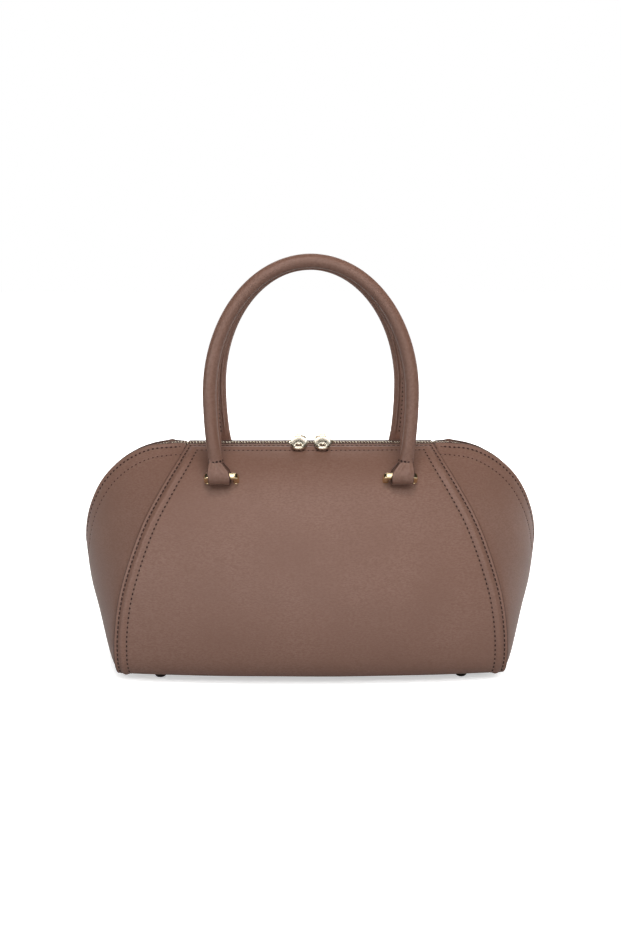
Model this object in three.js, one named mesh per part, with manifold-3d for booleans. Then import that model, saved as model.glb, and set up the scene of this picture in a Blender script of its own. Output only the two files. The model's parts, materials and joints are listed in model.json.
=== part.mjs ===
// A structured leather handbag: a front and a back panel lapped over folded side gussets, a zip along
// the ridge with two sliders and swinging pulls, two rolled handles on metal bridge loops, and base studs.
// Millimetres, +Z up, the front faces -Y, and the origin is on the floor under the middle of the bag.
import * as THREE from "three";
import { mergeVertices } from "three/addons/utils/BufferGeometryUtils.js";
import Module from "manifold-3d";

const wasm = await Module();
wasm.setup();

// Leather walls, the gap that pieces keep, the lap of panel over gusset, and the zip slit's half width
const PANEL_WALL = 2.0;
const GUSSET_WALL = 1.6;
const SEAT_GAP = 0.3;
const LAP = 9;
const ZIP_SLIT = 5.5;
const PANEL_FALL = 2.4;
const GUSSET_SHOULDER = 0.62;
const DIP_PEAK = 6.75;

// One row for each level of the body, from the folded-under lower edge to the zip ridge.
// centreY and seamY are the panel's depth at its middle and at its side edge, seamX is that edge's half
// width, tipX and tipZ place the gusset's middle line, full is how round the gusset is there, and dip is
// how deep it is pushed in beside the seam.
const LEVELS = [
  { height: 4.0, centreY: 54.0, seamX: 133.0, seamY: 47.5, tipX: 141.5, tipZ: 4.0, full: 1.0, dip: 0.0 },
  { height: 7.0, centreY: 62.0, seamX: 134.0, seamY: 54.5, tipX: 143.5, tipZ: 8.0, full: 1.0, dip: 0.0 },
  { height: 18.0, centreY: 66.5, seamX: 134.8, seamY: 58.0, tipX: 147.5, tipZ: 20.0, full: 0.95, dip: 0.4 },
  { height: 38.0, centreY: 67.0, seamX: 134.0, seamY: 57.8, tipX: 153.0, tipZ: 40.0, full: 0.8, dip: 1.6 },
  { height: 62.0, centreY: 64.0, seamX: 130.5, seamY: 54.5, tipX: 158.8, tipZ: 63.0, full: 0.55, dip: 3.0 },
  { height: 88.0, centreY: 58.0, seamX: 123.0, seamY: 49.0, tipX: 162.4, tipZ: 88.0, full: 0.3, dip: 3.4 },
  { height: 112.0, centreY: 50.5, seamX: 113.8, seamY: 41.5, tipX: 158.6, tipZ: 112.0, full: 0.2, dip: 2.6 },
  { height: 133.0, centreY: 40.0, seamX: 102.6, seamY: 31.5, tipX: 146.5, tipZ: 135.0, full: 0.1, dip: 1.2 },
  { height: 149.0, centreY: 25.0, seamX: 93.0, seamY: 19.5, tipX: 126.0, tipZ: 151.5, full: 0.05, dip: 0.3 },
  { height: 159.0, centreY: 5.0, seamX: 87.5, seamY: 5.0, tipX: 98.0, tipZ: 159.0, full: 0.0, dip: 0.0 },
];
const LAST_LEVEL = LEVELS.length - 1;
const ROWS = 2 * LAST_LEVEL;
const PANEL_COLUMNS = 12;
const WING_COLUMNS = 6;
const ZIP_END_LEVEL = 5;

// Base plate and studs
const BASE_WALL = 1.6;
const BASE_INSET = 1.1;
const BASE_SIDE_INSET = 2.4;
const FOOT_X = 105;
const FOOT_Y = 45;
const FOOT_SIDES = 14;
const FOOT_PROFILE = [
  { radius: 0, height: 0 },
  { radius: 2.8, height: 0 },
  { radius: 4.1, height: 1.3 },
  { radius: 4.8, height: 3.0 },
  { radius: 4.8, height: LEVELS[0].height - SEAT_GAP },
  { radius: 0, height: LEVELS[0].height - SEAT_GAP },
];

// Zip chain and tapes, sunk below the leather's outline
const RIDGE_Z = LEVELS[LAST_LEVEL].height;
const CHAIN_HALF = 2.2;
const CHAIN_THICK = 2.0;
const CHAIN_SUNK = 0.2;
const TAPE_OUTER = 3.3;
const TAPE_SUNK = 1.3;
const TAPE_THICK = 0.8;
const ZIP_END_GAP = 1.5;
const ZIP_STEPS = 40;
const ZIP_CURVE_POINTS = 16;

// Zip sliders, their bridges and the pulls that swing on them
const SLIDER_X = 8.4;
const SLIDER_LONG = 10.5;
const SLIDER_WIDE = 7.0;
const SLIDER_NOSE = 4.0;
const SLIDER_TAIL = 5.6;
const SLIDER_WAIST_X = -1.8;
const SLIDER_PLATE = 0.8;
const FLANGE_DROP = 0.7;
const FLANGE_INNER = 2.5;
const FLANGE_OUTER = 3.4;
const FLANGE_LONG = 5.2;
const BRIDGE_RISE = 2.5;
const BRIDGE_RADIUS = 0.75;
const BRIDGE_POST_X = 3.7;
const EYE_HOLE = 1.1;
const EYE_RADIUS = 1.85;
const EYE_WIDE = 4.6;
const PULL_REST = THREE.MathUtils.degToRad(19.5);
const PULL_LONG = 18.5;
const PULL_WIDE = 10.4;
const PULL_NECK = 4.6;
const PULL_SHOULDER = 3.4;
const PULL_THICK = 2.0;
const PULL_HOLE = 1.7;
const PULL_HOLE_Y = -14.6;

// Bridge loops
const BAR_RADIUS = 2.2;
const BAR_STAND = 7.0;
const BAR_HEIGHT = 141.2;
const LOOP_X = 62.2;
const POST_SPAN = 9.2;
const ELBOW = 2.3;
const ROSETTE_RADIUS = 3.4;
const ROSETTE_TOP = 3.1;
const ROSETTE_THICK = 1.0;

// Handles: a tube that springs from straight legs into half an ellipse, and tabs round the loops' bars
const TUBE_RADIUS = 4.6;
const TUBE_STEPS = 36;
const HANDLE_HALF_WIDTH = 67.0;
const HANDLE_SPRING_Z = 195;
const HANDLE_RISE = 88.8;
const LEG_POINTS = 3;
const ARCH_POINTS = 12;
const TAB_X = 62.6;
const TAB_WIDE = 12.8;
const TAB_RADIUS = 4.4;
const TAB_HOLE = 2.55;
const TAB_TOP = 11.5;
const TAB_OVERLAP = 1.5;
const TAB_NECK_HALF = 4.0;
const TAB_NECK_ANGLE = Math.PI / 4;

// Materials
const leather = new THREE.MeshStandardMaterial({ color: 0x84655a, roughness: 0.45, metalness: 0 });
const gold = new THREE.MeshStandardMaterial({ color: 0xe9d9b4, roughness: 0.2, metalness: 1 });
const zipTape = new THREE.MeshStandardMaterial({ color: 0x6d5248, roughness: 0.9, metalness: 0 });

// A column of the level table as a smooth function of t, from 0 at the lower edge to 1 at the ridge.
function levelCurve(column) {
  return new THREE.SplineCurve(LEVELS.map((row, i) => new THREE.Vector2(i, row[column])));
}
const CURVES = Object.fromEntries(Object.keys(LEVELS[0]).map((column) => [column, levelCurve(column)]));
const level = (column, t) => CURVES[column].getPoint(THREE.MathUtils.clamp(t, 0, 1)).y;

// A point of the front panel's face: t runs up it and q across it, from -1 to 1.
function panelPoint(t, q) {
  const centre = level("centreY", t);
  const depth = centre + (level("seamY", t) - centre) * Math.abs(q) ** PANEL_FALL;
  return new THREE.Vector3(q * level("seamX", t), -depth, level("height", t));
}

// The panel's outward normal, by differences.
function panelNormal(t, q) {
  const step = 0.01;
  const across = panelPoint(t, Math.min(q + step, 1)).sub(panelPoint(t, Math.max(q - step, -1)));
  const along = panelPoint(Math.min(t + step, 1), q).sub(panelPoint(Math.max(t - step, 0), q));
  return across.cross(along).normalize();
}

// The q of the inner edge of the strip that laps over the gusset.
const lapEdge = (t) => 1 - LAP / level("seamX", t);

function panelColumn(t, column) {
  if (column === 0) return -1;
  if (column === PANEL_COLUMNS) return 1;
  return lapEdge(t) * THREE.MathUtils.mapLinear(column, 1, PANEL_COLUMNS - 1, -1, 1);
}

// The gusset's middle line, where the zip runs above its end and the leather folds below it.
function tipPoint(t) {
  return new THREE.Vector3(level("tipX", t), -ZIP_SLIT, level("tipZ", t));
}

// A point of the right gusset's front half: column 0 is the hidden lap, column 1 the seam, and the rest
// run out to the middle line.
function gussetPoint(t, column) {
  const under = (q) => panelPoint(t, q).addScaledVector(panelNormal(t, q), -PANEL_WALL - SEAT_GAP);
  if (column === 0) return under(lapEdge(t));
  const seam = under(1);
  const tip = tipPoint(t);
  const middle = seam.clone().lerp(tip, 0.5);
  const shoulder = new THREE.Vector3(tip.x, seam.y * GUSSET_SHOULDER, middle.z);
  const control = middle.lerp(shoulder, THREE.MathUtils.clamp(level("full", t), 0, 1));
  const k = (column - 1) / WING_COLUMNS;
  const point = new THREE.QuadraticBezierCurve3(seam, control, tip).getPoint(k);
  const inward = new THREE.Vector3(seam.y - tip.y, tip.x - seam.x, 0).normalize();
  return point.addScaledVector(inward, level("dip", t) * DIP_PEAK * k * (1 - k) ** 2);
}

// An open surface of rows and columns of points, with the cells that keep(row, column) accepts.
function gridSurface(rows, columns, pointAt, keep = () => true) {
  const positions = [];
  for (let row = 0; row <= rows; row++)
    for (let column = 0; column <= columns; column++) positions.push(...pointAt(row, column));
  const index = [];
  const corner = (row, column) => row * (columns + 1) + column;
  for (let row = 0; row < rows; row++)
    for (let column = 0; column < columns; column++) {
      if (!keep(row, column)) continue;
      const [a, b] = [corner(row, column), corner(row, column + 1)];
      const [c, d] = [corner(row + 1, column + 1), corner(row + 1, column)];
      index.push(a, b, c, a, c, d);
    }
  const surface = new THREE.BufferGeometry();
  surface.setAttribute("position", new THREE.Float32BufferAttribute(positions, 3));
  surface.setIndex(index);
  surface.computeVertexNormals();
  return surface;
}

// A closed wall between an open surface and its offset inwards, with every open edge closed.
function wallOf(surface, thickness) {
  const outer = surface.getAttribute("position");
  const normal = surface.getAttribute("normal");
  const count = outer.count;
  const positions = [...outer.array];
  for (let i = 0; i < count; i++)
    for (let axis = 0; axis < 3; axis++)
      positions.push(outer.getComponent(i, axis) - thickness * normal.getComponent(i, axis));
  const faces = surface.getIndex().array;
  const index = [];
  const edges = new Set();
  for (let f = 0; f < faces.length; f += 3) {
    const [a, b, c] = faces.slice(f, f + 3);
    index.push(a, b, c, a + count, c + count, b + count);
    edges.add(`${a},${b}`).add(`${b},${c}`).add(`${c},${a}`);
  }
  for (const edge of edges) {
    const [a, b] = edge.split(",").map(Number);
    if (edges.has(`${b},${a}`)) continue;
    index.push(b, a, a + count, b, a + count, b + count);
  }
  const wall = new THREE.BufferGeometry();
  wall.setAttribute("position", new THREE.Float32BufferAttribute(positions, 3));
  wall.setIndex(index);
  return wall;
}

// Joins closed geometries into one solid, less the geometries in cuts.
function solidFrom(joined, cuts = []) {
  const solid = (geometry) => {
    const bare = geometry.clone();
    bare.deleteAttribute("normal");
    bare.deleteAttribute("uv");
    const merged = mergeVertices(bare, 1e-4);
    const vertProperties = new Float32Array(merged.getAttribute("position").array);
    const triVerts = new Uint32Array(merged.getIndex().array);
    return new wasm.Manifold(new wasm.Mesh({ numProp: 3, vertProperties, triVerts }));
  };
  let whole = joined.map(solid).reduce((sum, piece) => sum.add(piece));
  for (const cut of cuts) whole = whole.subtract(solid(cut));
  const mesh = whole.getMesh();
  const made = new THREE.BufferGeometry();
  made.setAttribute("position", new THREE.BufferAttribute(new Float32Array(mesh.vertProperties), 3));
  made.setIndex(new THREE.BufferAttribute(new Uint32Array(mesh.triVerts), 1));
  return made;
}

function named(name, geometry, material) {
  const mesh = new THREE.Mesh(geometry, material.clone());
  mesh.name = name;
  return mesh;
}

function roundShape(radius) {
  return new THREE.Shape().absarc(0, 0, radius, 0, 2 * Math.PI);
}

function rod(radius, path, sides, steps) {
  const options = { curveSegments: sides / 2, steps, bevelEnabled: false, extrudePath: path };
  return new THREE.ExtrudeGeometry(roundShape(radius), options);
}

// Front and back panels

function panelGeometry() {
  const at = (row, column) => panelPoint(row / ROWS, panelColumn(row / ROWS, column));
  return wallOf(gridSurface(ROWS, PANEL_COLUMNS, at), PANEL_WALL);
}

// Side gussets: the front half, a strip across the middle line below the zip, and the back half.

function gussetGeometry() {
  const half = WING_COLUMNS + 1;
  const columns = 2 * half + 1;
  const zipRow = (ROWS * ZIP_END_LEVEL) / LAST_LEVEL;
  const at = (row, column) => {
    const front = column <= half;
    const point = gussetPoint(row / ROWS, front ? column : columns - column);
    return front ? point : point.setY(-point.y);
  };
  const keep = (row, column) => column !== half || row < zipRow;
  return wallOf(gridSurface(ROWS, columns, at, keep), GUSSET_WALL);
}

// Base plate, inside the lower edges of the panels and the gussets

function baseGeometry() {
  const halves = 8;
  const front = [];
  for (let i = -halves; i <= halves; i++) {
    const p = panelPoint(0, i / halves);
    front.push(new THREE.Vector2(p.x * (1 - BASE_SIDE_INSET / level("seamX", 0)), p.y + BASE_INSET));
  }
  const side = [];
  for (let column = 2; column <= WING_COLUMNS + 1; column++) {
    const p = gussetPoint(0, column);
    side.push(new THREE.Vector2(p.x - BASE_SIDE_INSET, p.y));
  }
  const turned = (points) => points.map((p) => p.clone().negate());
  const mirrored = (points) => points.map((p) => new THREE.Vector2(p.x, -p.y)).reverse();
  const right = [...side, ...mirrored(side)];
  const outline = [...front, ...right, ...turned(front), ...turned(right)];
  const options = { depth: BASE_WALL, bevelEnabled: false };
  return new THREE.ExtrudeGeometry(new THREE.Shape(outline), options).translate(0, 0, LEVELS[0].height);
}

function footGeometry() {
  const profile = FOOT_PROFILE.map((row) => new THREE.Vector2(row.radius, row.height));
  return new THREE.LatheGeometry(profile, FOOT_SIDES).rotateX(Math.PI / 2);
}

// Zip: a chain and two tapes along the ridge and down the gussets' middle lines

class ZipLine extends THREE.Curve {
  constructor(sunk) {
    super();
    const down = [];
    for (let i = 0; i <= ZIP_CURVE_POINTS; i++) {
      const t = THREE.MathUtils.lerp(1, ZIP_END_LEVEL / LAST_LEVEL, i / ZIP_CURVE_POINTS);
      down.push(new THREE.Vector2(level("tipX", t), level("tipZ", t)));
    }
    const mirrored = down.map((p) => new THREE.Vector2(-p.x, p.y)).reverse();
    const inner = LEVELS[LAST_LEVEL].tipX / 2;
    const middle = [-inner, 0, inner].map((x) => new THREE.Vector2(x, RIDGE_Z));
    this.flat = new THREE.SplineCurve([...mirrored, ...middle, ...down]);
    this.trim = ZIP_END_GAP / this.flat.getLength();
    this.sunk = sunk;
  }
  getPoint(u, target = new THREE.Vector3()) {
    const s = THREE.MathUtils.lerp(this.trim, 1 - this.trim, u);
    const p = this.flat.getPointAt(s);
    const along = this.flat.getTangentAt(s);
    return target.set(p.x + along.y * this.sunk, 0, p.y - along.x * this.sunk);
  }
}

function zipStrip(path, yLow, yHigh, thickness) {
  const section = new THREE.Shape();
  section.moveTo(yLow, -thickness / 2).lineTo(yHigh, -thickness / 2);
  section.lineTo(yHigh, thickness / 2).lineTo(yLow, thickness / 2).closePath();
  return new THREE.ExtrudeGeometry(section, { steps: ZIP_STEPS, bevelEnabled: false, extrudePath: path });
}

// Slider: a plate over the chain with a flange down each side and a bridge that carries the pull.

const SLIDER_BASE = RIDGE_Z - CHAIN_SUNK + SEAT_GAP;
const BRIDGE_Z = SLIDER_PLATE + BRIDGE_RISE;

function sliderGeometry() {
  const outline = new THREE.Shape();
  const [half, wide] = [SLIDER_LONG / 2, SLIDER_WIDE / 2];
  outline.moveTo(-half, -SLIDER_NOSE / 2).lineTo(SLIDER_WAIST_X, -wide).lineTo(half, -SLIDER_TAIL / 2);
  outline.lineTo(half, SLIDER_TAIL / 2).lineTo(SLIDER_WAIST_X, wide);
  outline.lineTo(-half, SLIDER_NOSE / 2).closePath();
  const pieces = [new THREE.ExtrudeGeometry(outline, { depth: SLIDER_PLATE, bevelEnabled: false })];
  const flangeWide = FLANGE_OUTER - FLANGE_INNER;
  const flangeY = (FLANGE_OUTER + FLANGE_INNER) / 2;
  for (const side of [-1, 1]) {
    const flange = new THREE.BoxGeometry(FLANGE_LONG, flangeWide, 2 * FLANGE_DROP);
    pieces.push(flange.translate(FLANGE_LONG / 2 + SLIDER_WAIST_X, side * flangeY, 0));
  }
  const arch = new THREE.CatmullRomCurve3([
    new THREE.Vector3(-BRIDGE_POST_X, 0, SLIDER_PLATE / 2),
    new THREE.Vector3(-BRIDGE_POST_X, 0, BRIDGE_Z - BRIDGE_RADIUS),
    new THREE.Vector3(-BRIDGE_POST_X + BRIDGE_RADIUS, 0, BRIDGE_Z),
    new THREE.Vector3(BRIDGE_POST_X - BRIDGE_RADIUS, 0, BRIDGE_Z),
    new THREE.Vector3(BRIDGE_POST_X, 0, BRIDGE_Z - BRIDGE_RADIUS),
    new THREE.Vector3(BRIDGE_POST_X, 0, SLIDER_PLATE / 2),
  ]);
  pieces.push(rod(BRIDGE_RADIUS, arch, 8, 14));
  return solidFrom(pieces);
}

// Pull: an eye round the bridge, a neck and an oval tab with a hole, lying along -Y from the bridge.

function pullGeometry() {
  const eye = new THREE.CylinderGeometry(EYE_RADIUS, EYE_RADIUS, EYE_WIDE, 12).rotateZ(Math.PI / 2);
  const eyeHole = new THREE.CylinderGeometry(EYE_HOLE, EYE_HOLE, 2 * EYE_WIDE, 12).rotateZ(Math.PI / 2);
  const outline = new THREE.Shape();
  const [neck, wide] = [PULL_NECK / 2, PULL_WIDE / 2];
  const roundY = wide - PULL_LONG;
  outline.moveTo(neck, 0).lineTo(neck, -PULL_SHOULDER).quadraticCurveTo(wide, -PULL_SHOULDER, wide, roundY);
  outline.absarc(0, roundY, wide, 0, -Math.PI, true);
  outline.quadraticCurveTo(-wide, -PULL_SHOULDER, -neck, -PULL_SHOULDER).lineTo(-neck, 0).closePath();
  outline.holes.push(new THREE.Path().absarc(0, PULL_HOLE_Y, PULL_HOLE, 0, 2 * Math.PI));
  const options = { depth: PULL_THICK, bevelEnabled: false, curveSegments: 7 };
  const tab = new THREE.ExtrudeGeometry(outline, options).translate(0, 0, -PULL_THICK / 2);
  return solidFrom([tab, eye], [eyeHole]);
}

// The t of the panel's level at a height.
function levelAt(z) {
  let [low, high] = [0, 1];
  for (let i = 0; i < 40; i++) {
    const t = (low + high) / 2;
    if (level("height", t) < z) low = t;
    else high = t;
  }
  return low;
}

// How far a point stands in front of the front panel, along Y.
function clearOfPanel(point) {
  const t = levelAt(point.z);
  return panelPoint(t, point.x / level("seamX", t)).y - point.y;
}

// The place on the front panel whose bar stands at BAR_HEIGHT, as a frame with +Z leaving the panel.
function loopSeat(x) {
  let [low, high] = [0.5, 1];
  for (let i = 0; i < 40; i++) {
    const t = (low + high) / 2;
    const q = x / level("seamX", t);
    const bar = panelPoint(t, q).addScaledVector(panelNormal(t, q), BAR_STAND);
    if (bar.z < BAR_HEIGHT) low = t;
    else high = t;
  }
  const q = x / level("seamX", low);
  const normal = panelNormal(low, q);
  const tilt = Math.atan2(-normal.y, normal.z);
  const frame = new THREE.Matrix4().makeRotationX(tilt).setPosition(panelPoint(low, q));
  return { frame, bar: new THREE.Vector3(0, 0, BAR_STAND).applyMatrix4(frame) };
}

// The seat's local height of the panel's face under a post.
function postFoot(frame, x) {
  let [low, high] = [-BAR_STAND, BAR_STAND];
  for (let i = 0; i < 40; i++) {
    const height = (low + high) / 2;
    if (clearOfPanel(new THREE.Vector3(x, 0, height).applyMatrix4(frame)) < 0) low = height;
    else high = height;
  }
  return low;
}

// Bridge loop: two posts on rosettes, with the bar that the handle's tab turns round.

function loopGeometry(frame) {
  const [x, top] = [POST_SPAN, BAR_STAND];
  const [leftFoot, rightFoot] = [postFoot(frame, -x), postFoot(frame, x)];
  const lean = Math.atan2(rightFoot - leftFoot, 2 * x);
  const path = new THREE.CurvePath();
  const at = (px, pz) => new THREE.Vector3(px, 0, pz);
  path.add(new THREE.LineCurve3(at(-x, leftFoot + 2 * SEAT_GAP), at(-x, top - ELBOW)));
  path.add(new THREE.QuadraticBezierCurve3(at(-x, top - ELBOW), at(-x, top), at(-x + ELBOW, top)));
  path.add(new THREE.LineCurve3(at(-x + ELBOW, top), at(x - ELBOW, top)));
  path.add(new THREE.QuadraticBezierCurve3(at(x - ELBOW, top), at(x, top), at(x, top - ELBOW)));
  path.add(new THREE.LineCurve3(at(x, top - ELBOW), at(x, rightFoot + 2 * SEAT_GAP)));
  const pieces = [rod(BAR_RADIUS, path, 8, 16)];
  for (const [side, foot] of [[-x, leftFoot], [x, rightFoot]]) {
    const rosette = new THREE.CylinderGeometry(ROSETTE_TOP, ROSETTE_RADIUS, ROSETTE_THICK, 12);
    rosette.rotateX(Math.PI / 2).rotateY(-lean);
    pieces.push(rosette.translate(side, 0, foot + SEAT_GAP + ROSETTE_THICK / 2));
  }
  return solidFrom(pieces);
}

function loopMesh(name, x) {
  const { frame } = loopSeat(x);
  const mesh = named(name, loopGeometry(frame), gold);
  mesh.applyMatrix4(frame);
  return mesh;
}

// Handle: a rolled tube whose flattened ends wrap the bars. Local frame: bars along X at the origin's height.

class HandleLine extends THREE.Curve {
  constructor() {
    super();
    const leg = HANDLE_SPRING_Z - BAR_HEIGHT;
    const right = [];
    for (let i = 0; i < LEG_POINTS; i++) {
      const z = THREE.MathUtils.lerp(TAB_TOP - TAB_OVERLAP, leg, i / LEG_POINTS);
      const x = HANDLE_HALF_WIDTH - (HANDLE_HALF_WIDTH - TAB_X) * (1 - z / leg) ** 2;
      right.push(new THREE.Vector3(x, 0, z));
    }
    const arch = [];
    for (let i = 0; i <= ARCH_POINTS; i++) {
      const angle = (Math.PI * i) / ARCH_POINTS;
      const x = HANDLE_HALF_WIDTH * Math.cos(angle);
      arch.push(new THREE.Vector3(x, 0, leg + HANDLE_RISE * Math.sin(angle)));
    }
    const left = right.map((p) => new THREE.Vector3(-p.x, 0, p.z)).reverse();
    this.line = new THREE.CatmullRomCurve3([...right, ...arch, ...left]);
  }
  getPoint(u, target = new THREE.Vector3()) {
    return target.copy(this.line.getPointAt(u));
  }
}

function tabGeometry(side) {
  const outline = new THREE.Shape();
  outline.absarc(0, 0, TAB_RADIUS, Math.PI - TAB_NECK_ANGLE, TAB_NECK_ANGLE, false);
  outline.lineTo(TAB_NECK_HALF, TAB_TOP).lineTo(-TAB_NECK_HALF, TAB_TOP).closePath();
  outline.holes.push(new THREE.Path().absarc(0, 0, TAB_HOLE, 0, 2 * Math.PI));
  const options = { depth: TAB_WIDE, bevelEnabled: false, curveSegments: 8 };
  const tab = new THREE.ExtrudeGeometry(outline, options).translate(0, 0, -TAB_WIDE / 2);
  tab.rotateX(Math.PI / 2).rotateZ(Math.PI / 2);
  const position = tab.getAttribute("position");
  for (let i = 0; i < position.count; i++) {
    const rise = THREE.MathUtils.smoothstep(position.getZ(i), TAB_RADIUS / 2, TAB_TOP);
    const narrowed = THREE.MathUtils.lerp(1, (2 * TAB_NECK_HALF) / TAB_WIDE, rise);
    position.setX(i, position.getX(i) * narrowed + side * TAB_X);
  }
  return tab;
}

function handleGeometry() {
  const tube = rod(TUBE_RADIUS, new HandleLine(), 12, TUBE_STEPS);
  return solidFrom([tube, tabGeometry(-1), tabGeometry(1)]);
}

// Assembly

function faceGroup(side, nearNegativeX, nearPositiveX) {
  const group = new THREE.Group();
  group.add(named(`${side}_panel`, panelGeometry(), leather));
  group.add(loopMesh(`${side}_${nearNegativeX}_loop`, -LOOP_X));
  group.add(loopMesh(`${side}_${nearPositiveX}_loop`, LOOP_X));
  const handle = named(`${side}_handle`, handleGeometry(), leather);
  handle.position.copy(loopSeat(LOOP_X).bar).setX(0);
  group.add(handle);
  return group;
}

const bag = new THREE.Group();
const front = faceGroup("front", "left", "right");
const back = faceGroup("back", "right", "left");
back.rotation.z = Math.PI;
bag.add(front, back);

const rightGusset = named("right_gusset", gussetGeometry(), leather);
const leftGusset = named("left_gusset", gussetGeometry(), leather);
leftGusset.rotation.z = Math.PI;
bag.add(rightGusset, leftGusset, named("base", baseGeometry(), leather));

for (const [end, y] of [["front", -FOOT_Y], ["back", FOOT_Y]])
  for (const [side, x] of [["left", -FOOT_X], ["right", FOOT_X]]) {
    const foot = named(`${end}_${side}_foot`, footGeometry(), gold);
    foot.position.set(x, y, 0);
    bag.add(foot);
  }

const chainLine = new ZipLine(CHAIN_SUNK + CHAIN_THICK / 2);
bag.add(named("zip_chain", zipStrip(chainLine, -CHAIN_HALF, CHAIN_HALF, CHAIN_THICK), gold));
const tapeLine = new ZipLine(TAPE_SUNK);
const tapeInner = CHAIN_HALF + SEAT_GAP;
bag.add(named("front_zip_tape", zipStrip(tapeLine, tapeInner, TAPE_OUTER, TAPE_THICK), zipTape));
bag.add(named("back_zip_tape", zipStrip(tapeLine, -TAPE_OUTER, -tapeInner, TAPE_THICK), zipTape));

for (const [side, turn] of [["left", 0], ["right", Math.PI]]) {
  const x = (turn ? 1 : -1) * SLIDER_X;
  const slider = named(`${side}_zip_slider`, sliderGeometry(), gold);
  slider.position.set(x, 0, SLIDER_BASE);
  slider.rotation.z = turn;
  const pull = named(`${side}_zip_pull`, pullGeometry(), gold);
  pull.position.set(x, 0, SLIDER_BASE + BRIDGE_Z);
  pull.rotation.x = PULL_REST;
  bag.add(slider, pull);
}

export default bag;
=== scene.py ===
"""A structured leather handbag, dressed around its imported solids. Metres, +Z up, the front faces -Y."""

import json
import math
from functools import wraps

import bmesh
import bpy
import numpy as np
from bpy.props import FloatProperty, FloatVectorProperty, PointerProperty
from mathutils import Matrix, Vector


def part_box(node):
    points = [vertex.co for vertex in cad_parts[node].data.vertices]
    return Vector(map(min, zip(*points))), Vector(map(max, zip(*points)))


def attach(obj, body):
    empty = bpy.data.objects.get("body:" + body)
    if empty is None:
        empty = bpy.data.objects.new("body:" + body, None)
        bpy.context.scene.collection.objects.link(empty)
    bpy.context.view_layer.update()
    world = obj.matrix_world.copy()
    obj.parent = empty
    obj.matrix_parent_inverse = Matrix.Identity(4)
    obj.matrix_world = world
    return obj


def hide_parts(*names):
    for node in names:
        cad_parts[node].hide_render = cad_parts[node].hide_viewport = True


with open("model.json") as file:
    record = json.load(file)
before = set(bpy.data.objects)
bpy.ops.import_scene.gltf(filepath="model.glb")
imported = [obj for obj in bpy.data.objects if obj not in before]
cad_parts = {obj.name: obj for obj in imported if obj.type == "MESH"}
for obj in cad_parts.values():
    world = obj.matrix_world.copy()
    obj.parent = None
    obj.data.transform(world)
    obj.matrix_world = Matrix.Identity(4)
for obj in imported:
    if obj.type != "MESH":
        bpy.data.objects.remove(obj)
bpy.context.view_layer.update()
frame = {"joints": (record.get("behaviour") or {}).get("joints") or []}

bl_info = {
    "name": "Handbag",
    "version": (1, 0, 0),
    "blender": (4, 5, 0),
    "location": "View3D > Sidebar > Handbag",
    "description": "Leather panels, gussets, zip, loops and rolled handles of a structured handbag",
    "category": "Add Mesh",
}

MM = 0.001
TINY = 1e-12

# The body's levels, in millimetres, from the folded-under lower edge to the zip ridge: the panel's height,
# its depth at the middle, its half width and its depth at the side edge, how far out and how high the
# gusset's middle line is, how round the gusset is, and how deep it is pushed in beside the seam.
LEVEL_COLUMNS = ("height", "centre_y", "seam_x", "seam_y", "tip_x", "tip_z", "full", "dip")
LEVELS = (
    (4.0, 54.0, 133.0, 47.5, 141.5, 4.0, 1.00, 0.0),
    (7.0, 62.0, 134.0, 54.5, 143.5, 8.0, 1.00, 0.0),
    (18.0, 66.5, 134.8, 58.0, 147.5, 20.0, 0.95, 0.0),
    (38.0, 67.0, 134.0, 57.8, 153.0, 40.0, 0.88, 0.1),
    (62.0, 64.0, 130.5, 54.5, 158.8, 63.0, 0.76, 0.4),
    (88.0, 58.0, 123.0, 49.0, 162.4, 88.0, 0.54, 0.6),
    (112.0, 50.5, 113.8, 41.5, 158.6, 112.0, 0.34, 0.5),
    (133.0, 40.0, 102.6, 31.5, 146.5, 135.0, 0.18, 0.3),
    (148.8, 25.0, 93.0, 19.5, 126.0, 151.5, 0.06, 0.1),
    (157.9, 5.0, 87.5, 5.0, 98.0, 159.0, 0.00, 0.0),
)
LEVEL_TABLE = dict(zip(LEVEL_COLUMNS, np.array(LEVELS).T))
PLAIN_COLUMNS = ("full",)

# Places and shapes between the levels, with t from 0 at the lower edge to 1 at the ridge
ZIP_END_T = 5 / 9
WING_TOP_T = 0.992
PANEL_FALL = 2.4
GUSSET_SHOULDER = 0.62
DIP_MIDDLE = 0.3
CROWN = 0.9 * MM
CROWN_T = 0.89
EDGE_SUNK = 1.1 * MM
BACK_LIFT = 1.0 * MM
RIDGE_LIFT = 2.8 * MM
RIDGE_Z = LEVEL_TABLE["tip_z"][-1] * MM
FLOOR_GAP = LEVEL_TABLE["height"][0] * MM

# Between which places the edges beside the zip lift or sink, and how far from the seam
TOP_EDGE_T = (0.93, 1)
EDGE_SUNK_T = (0.935, 0.985)
RIDGE_LIFT_T = (0.94, 0.99)
RIDGE_LIFT_K = (0, 0.15)

# Stitch grooves, and the leather's unevenness as waves: share, radians a metre across and up, and phase
GROOVE_WIDTH = 0.7 * MM
SECOND_GROOVE = 0.7
RIPPLE_FULL = 4
RIPPLE_WAVES = (
    (0.5, 41, -57, 0.9), (-0.5, 41, 57, 1.7), (0.6, 83, 67, -math.pi / 2), (0.4, 29, -90, -math.pi / 2),
)

# Fineness of the meshes
EDGE_RINGS = 6
PANEL_ROWS = 116
PANEL_MIDDLE = 72
WING_ROWS = 130
WING_COLUMNS = 56
LAP_COLUMNS = 4
STRIP_COLUMNS = 6
SWEEP_SIDES = 24
LATHE_SIDES = 40
RISE_STEPS = 600
SLOPE_STEP = 0.004
SHARP_CORNER = 0.8
SHARP_ANGLE = math.radians(40)

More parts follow.
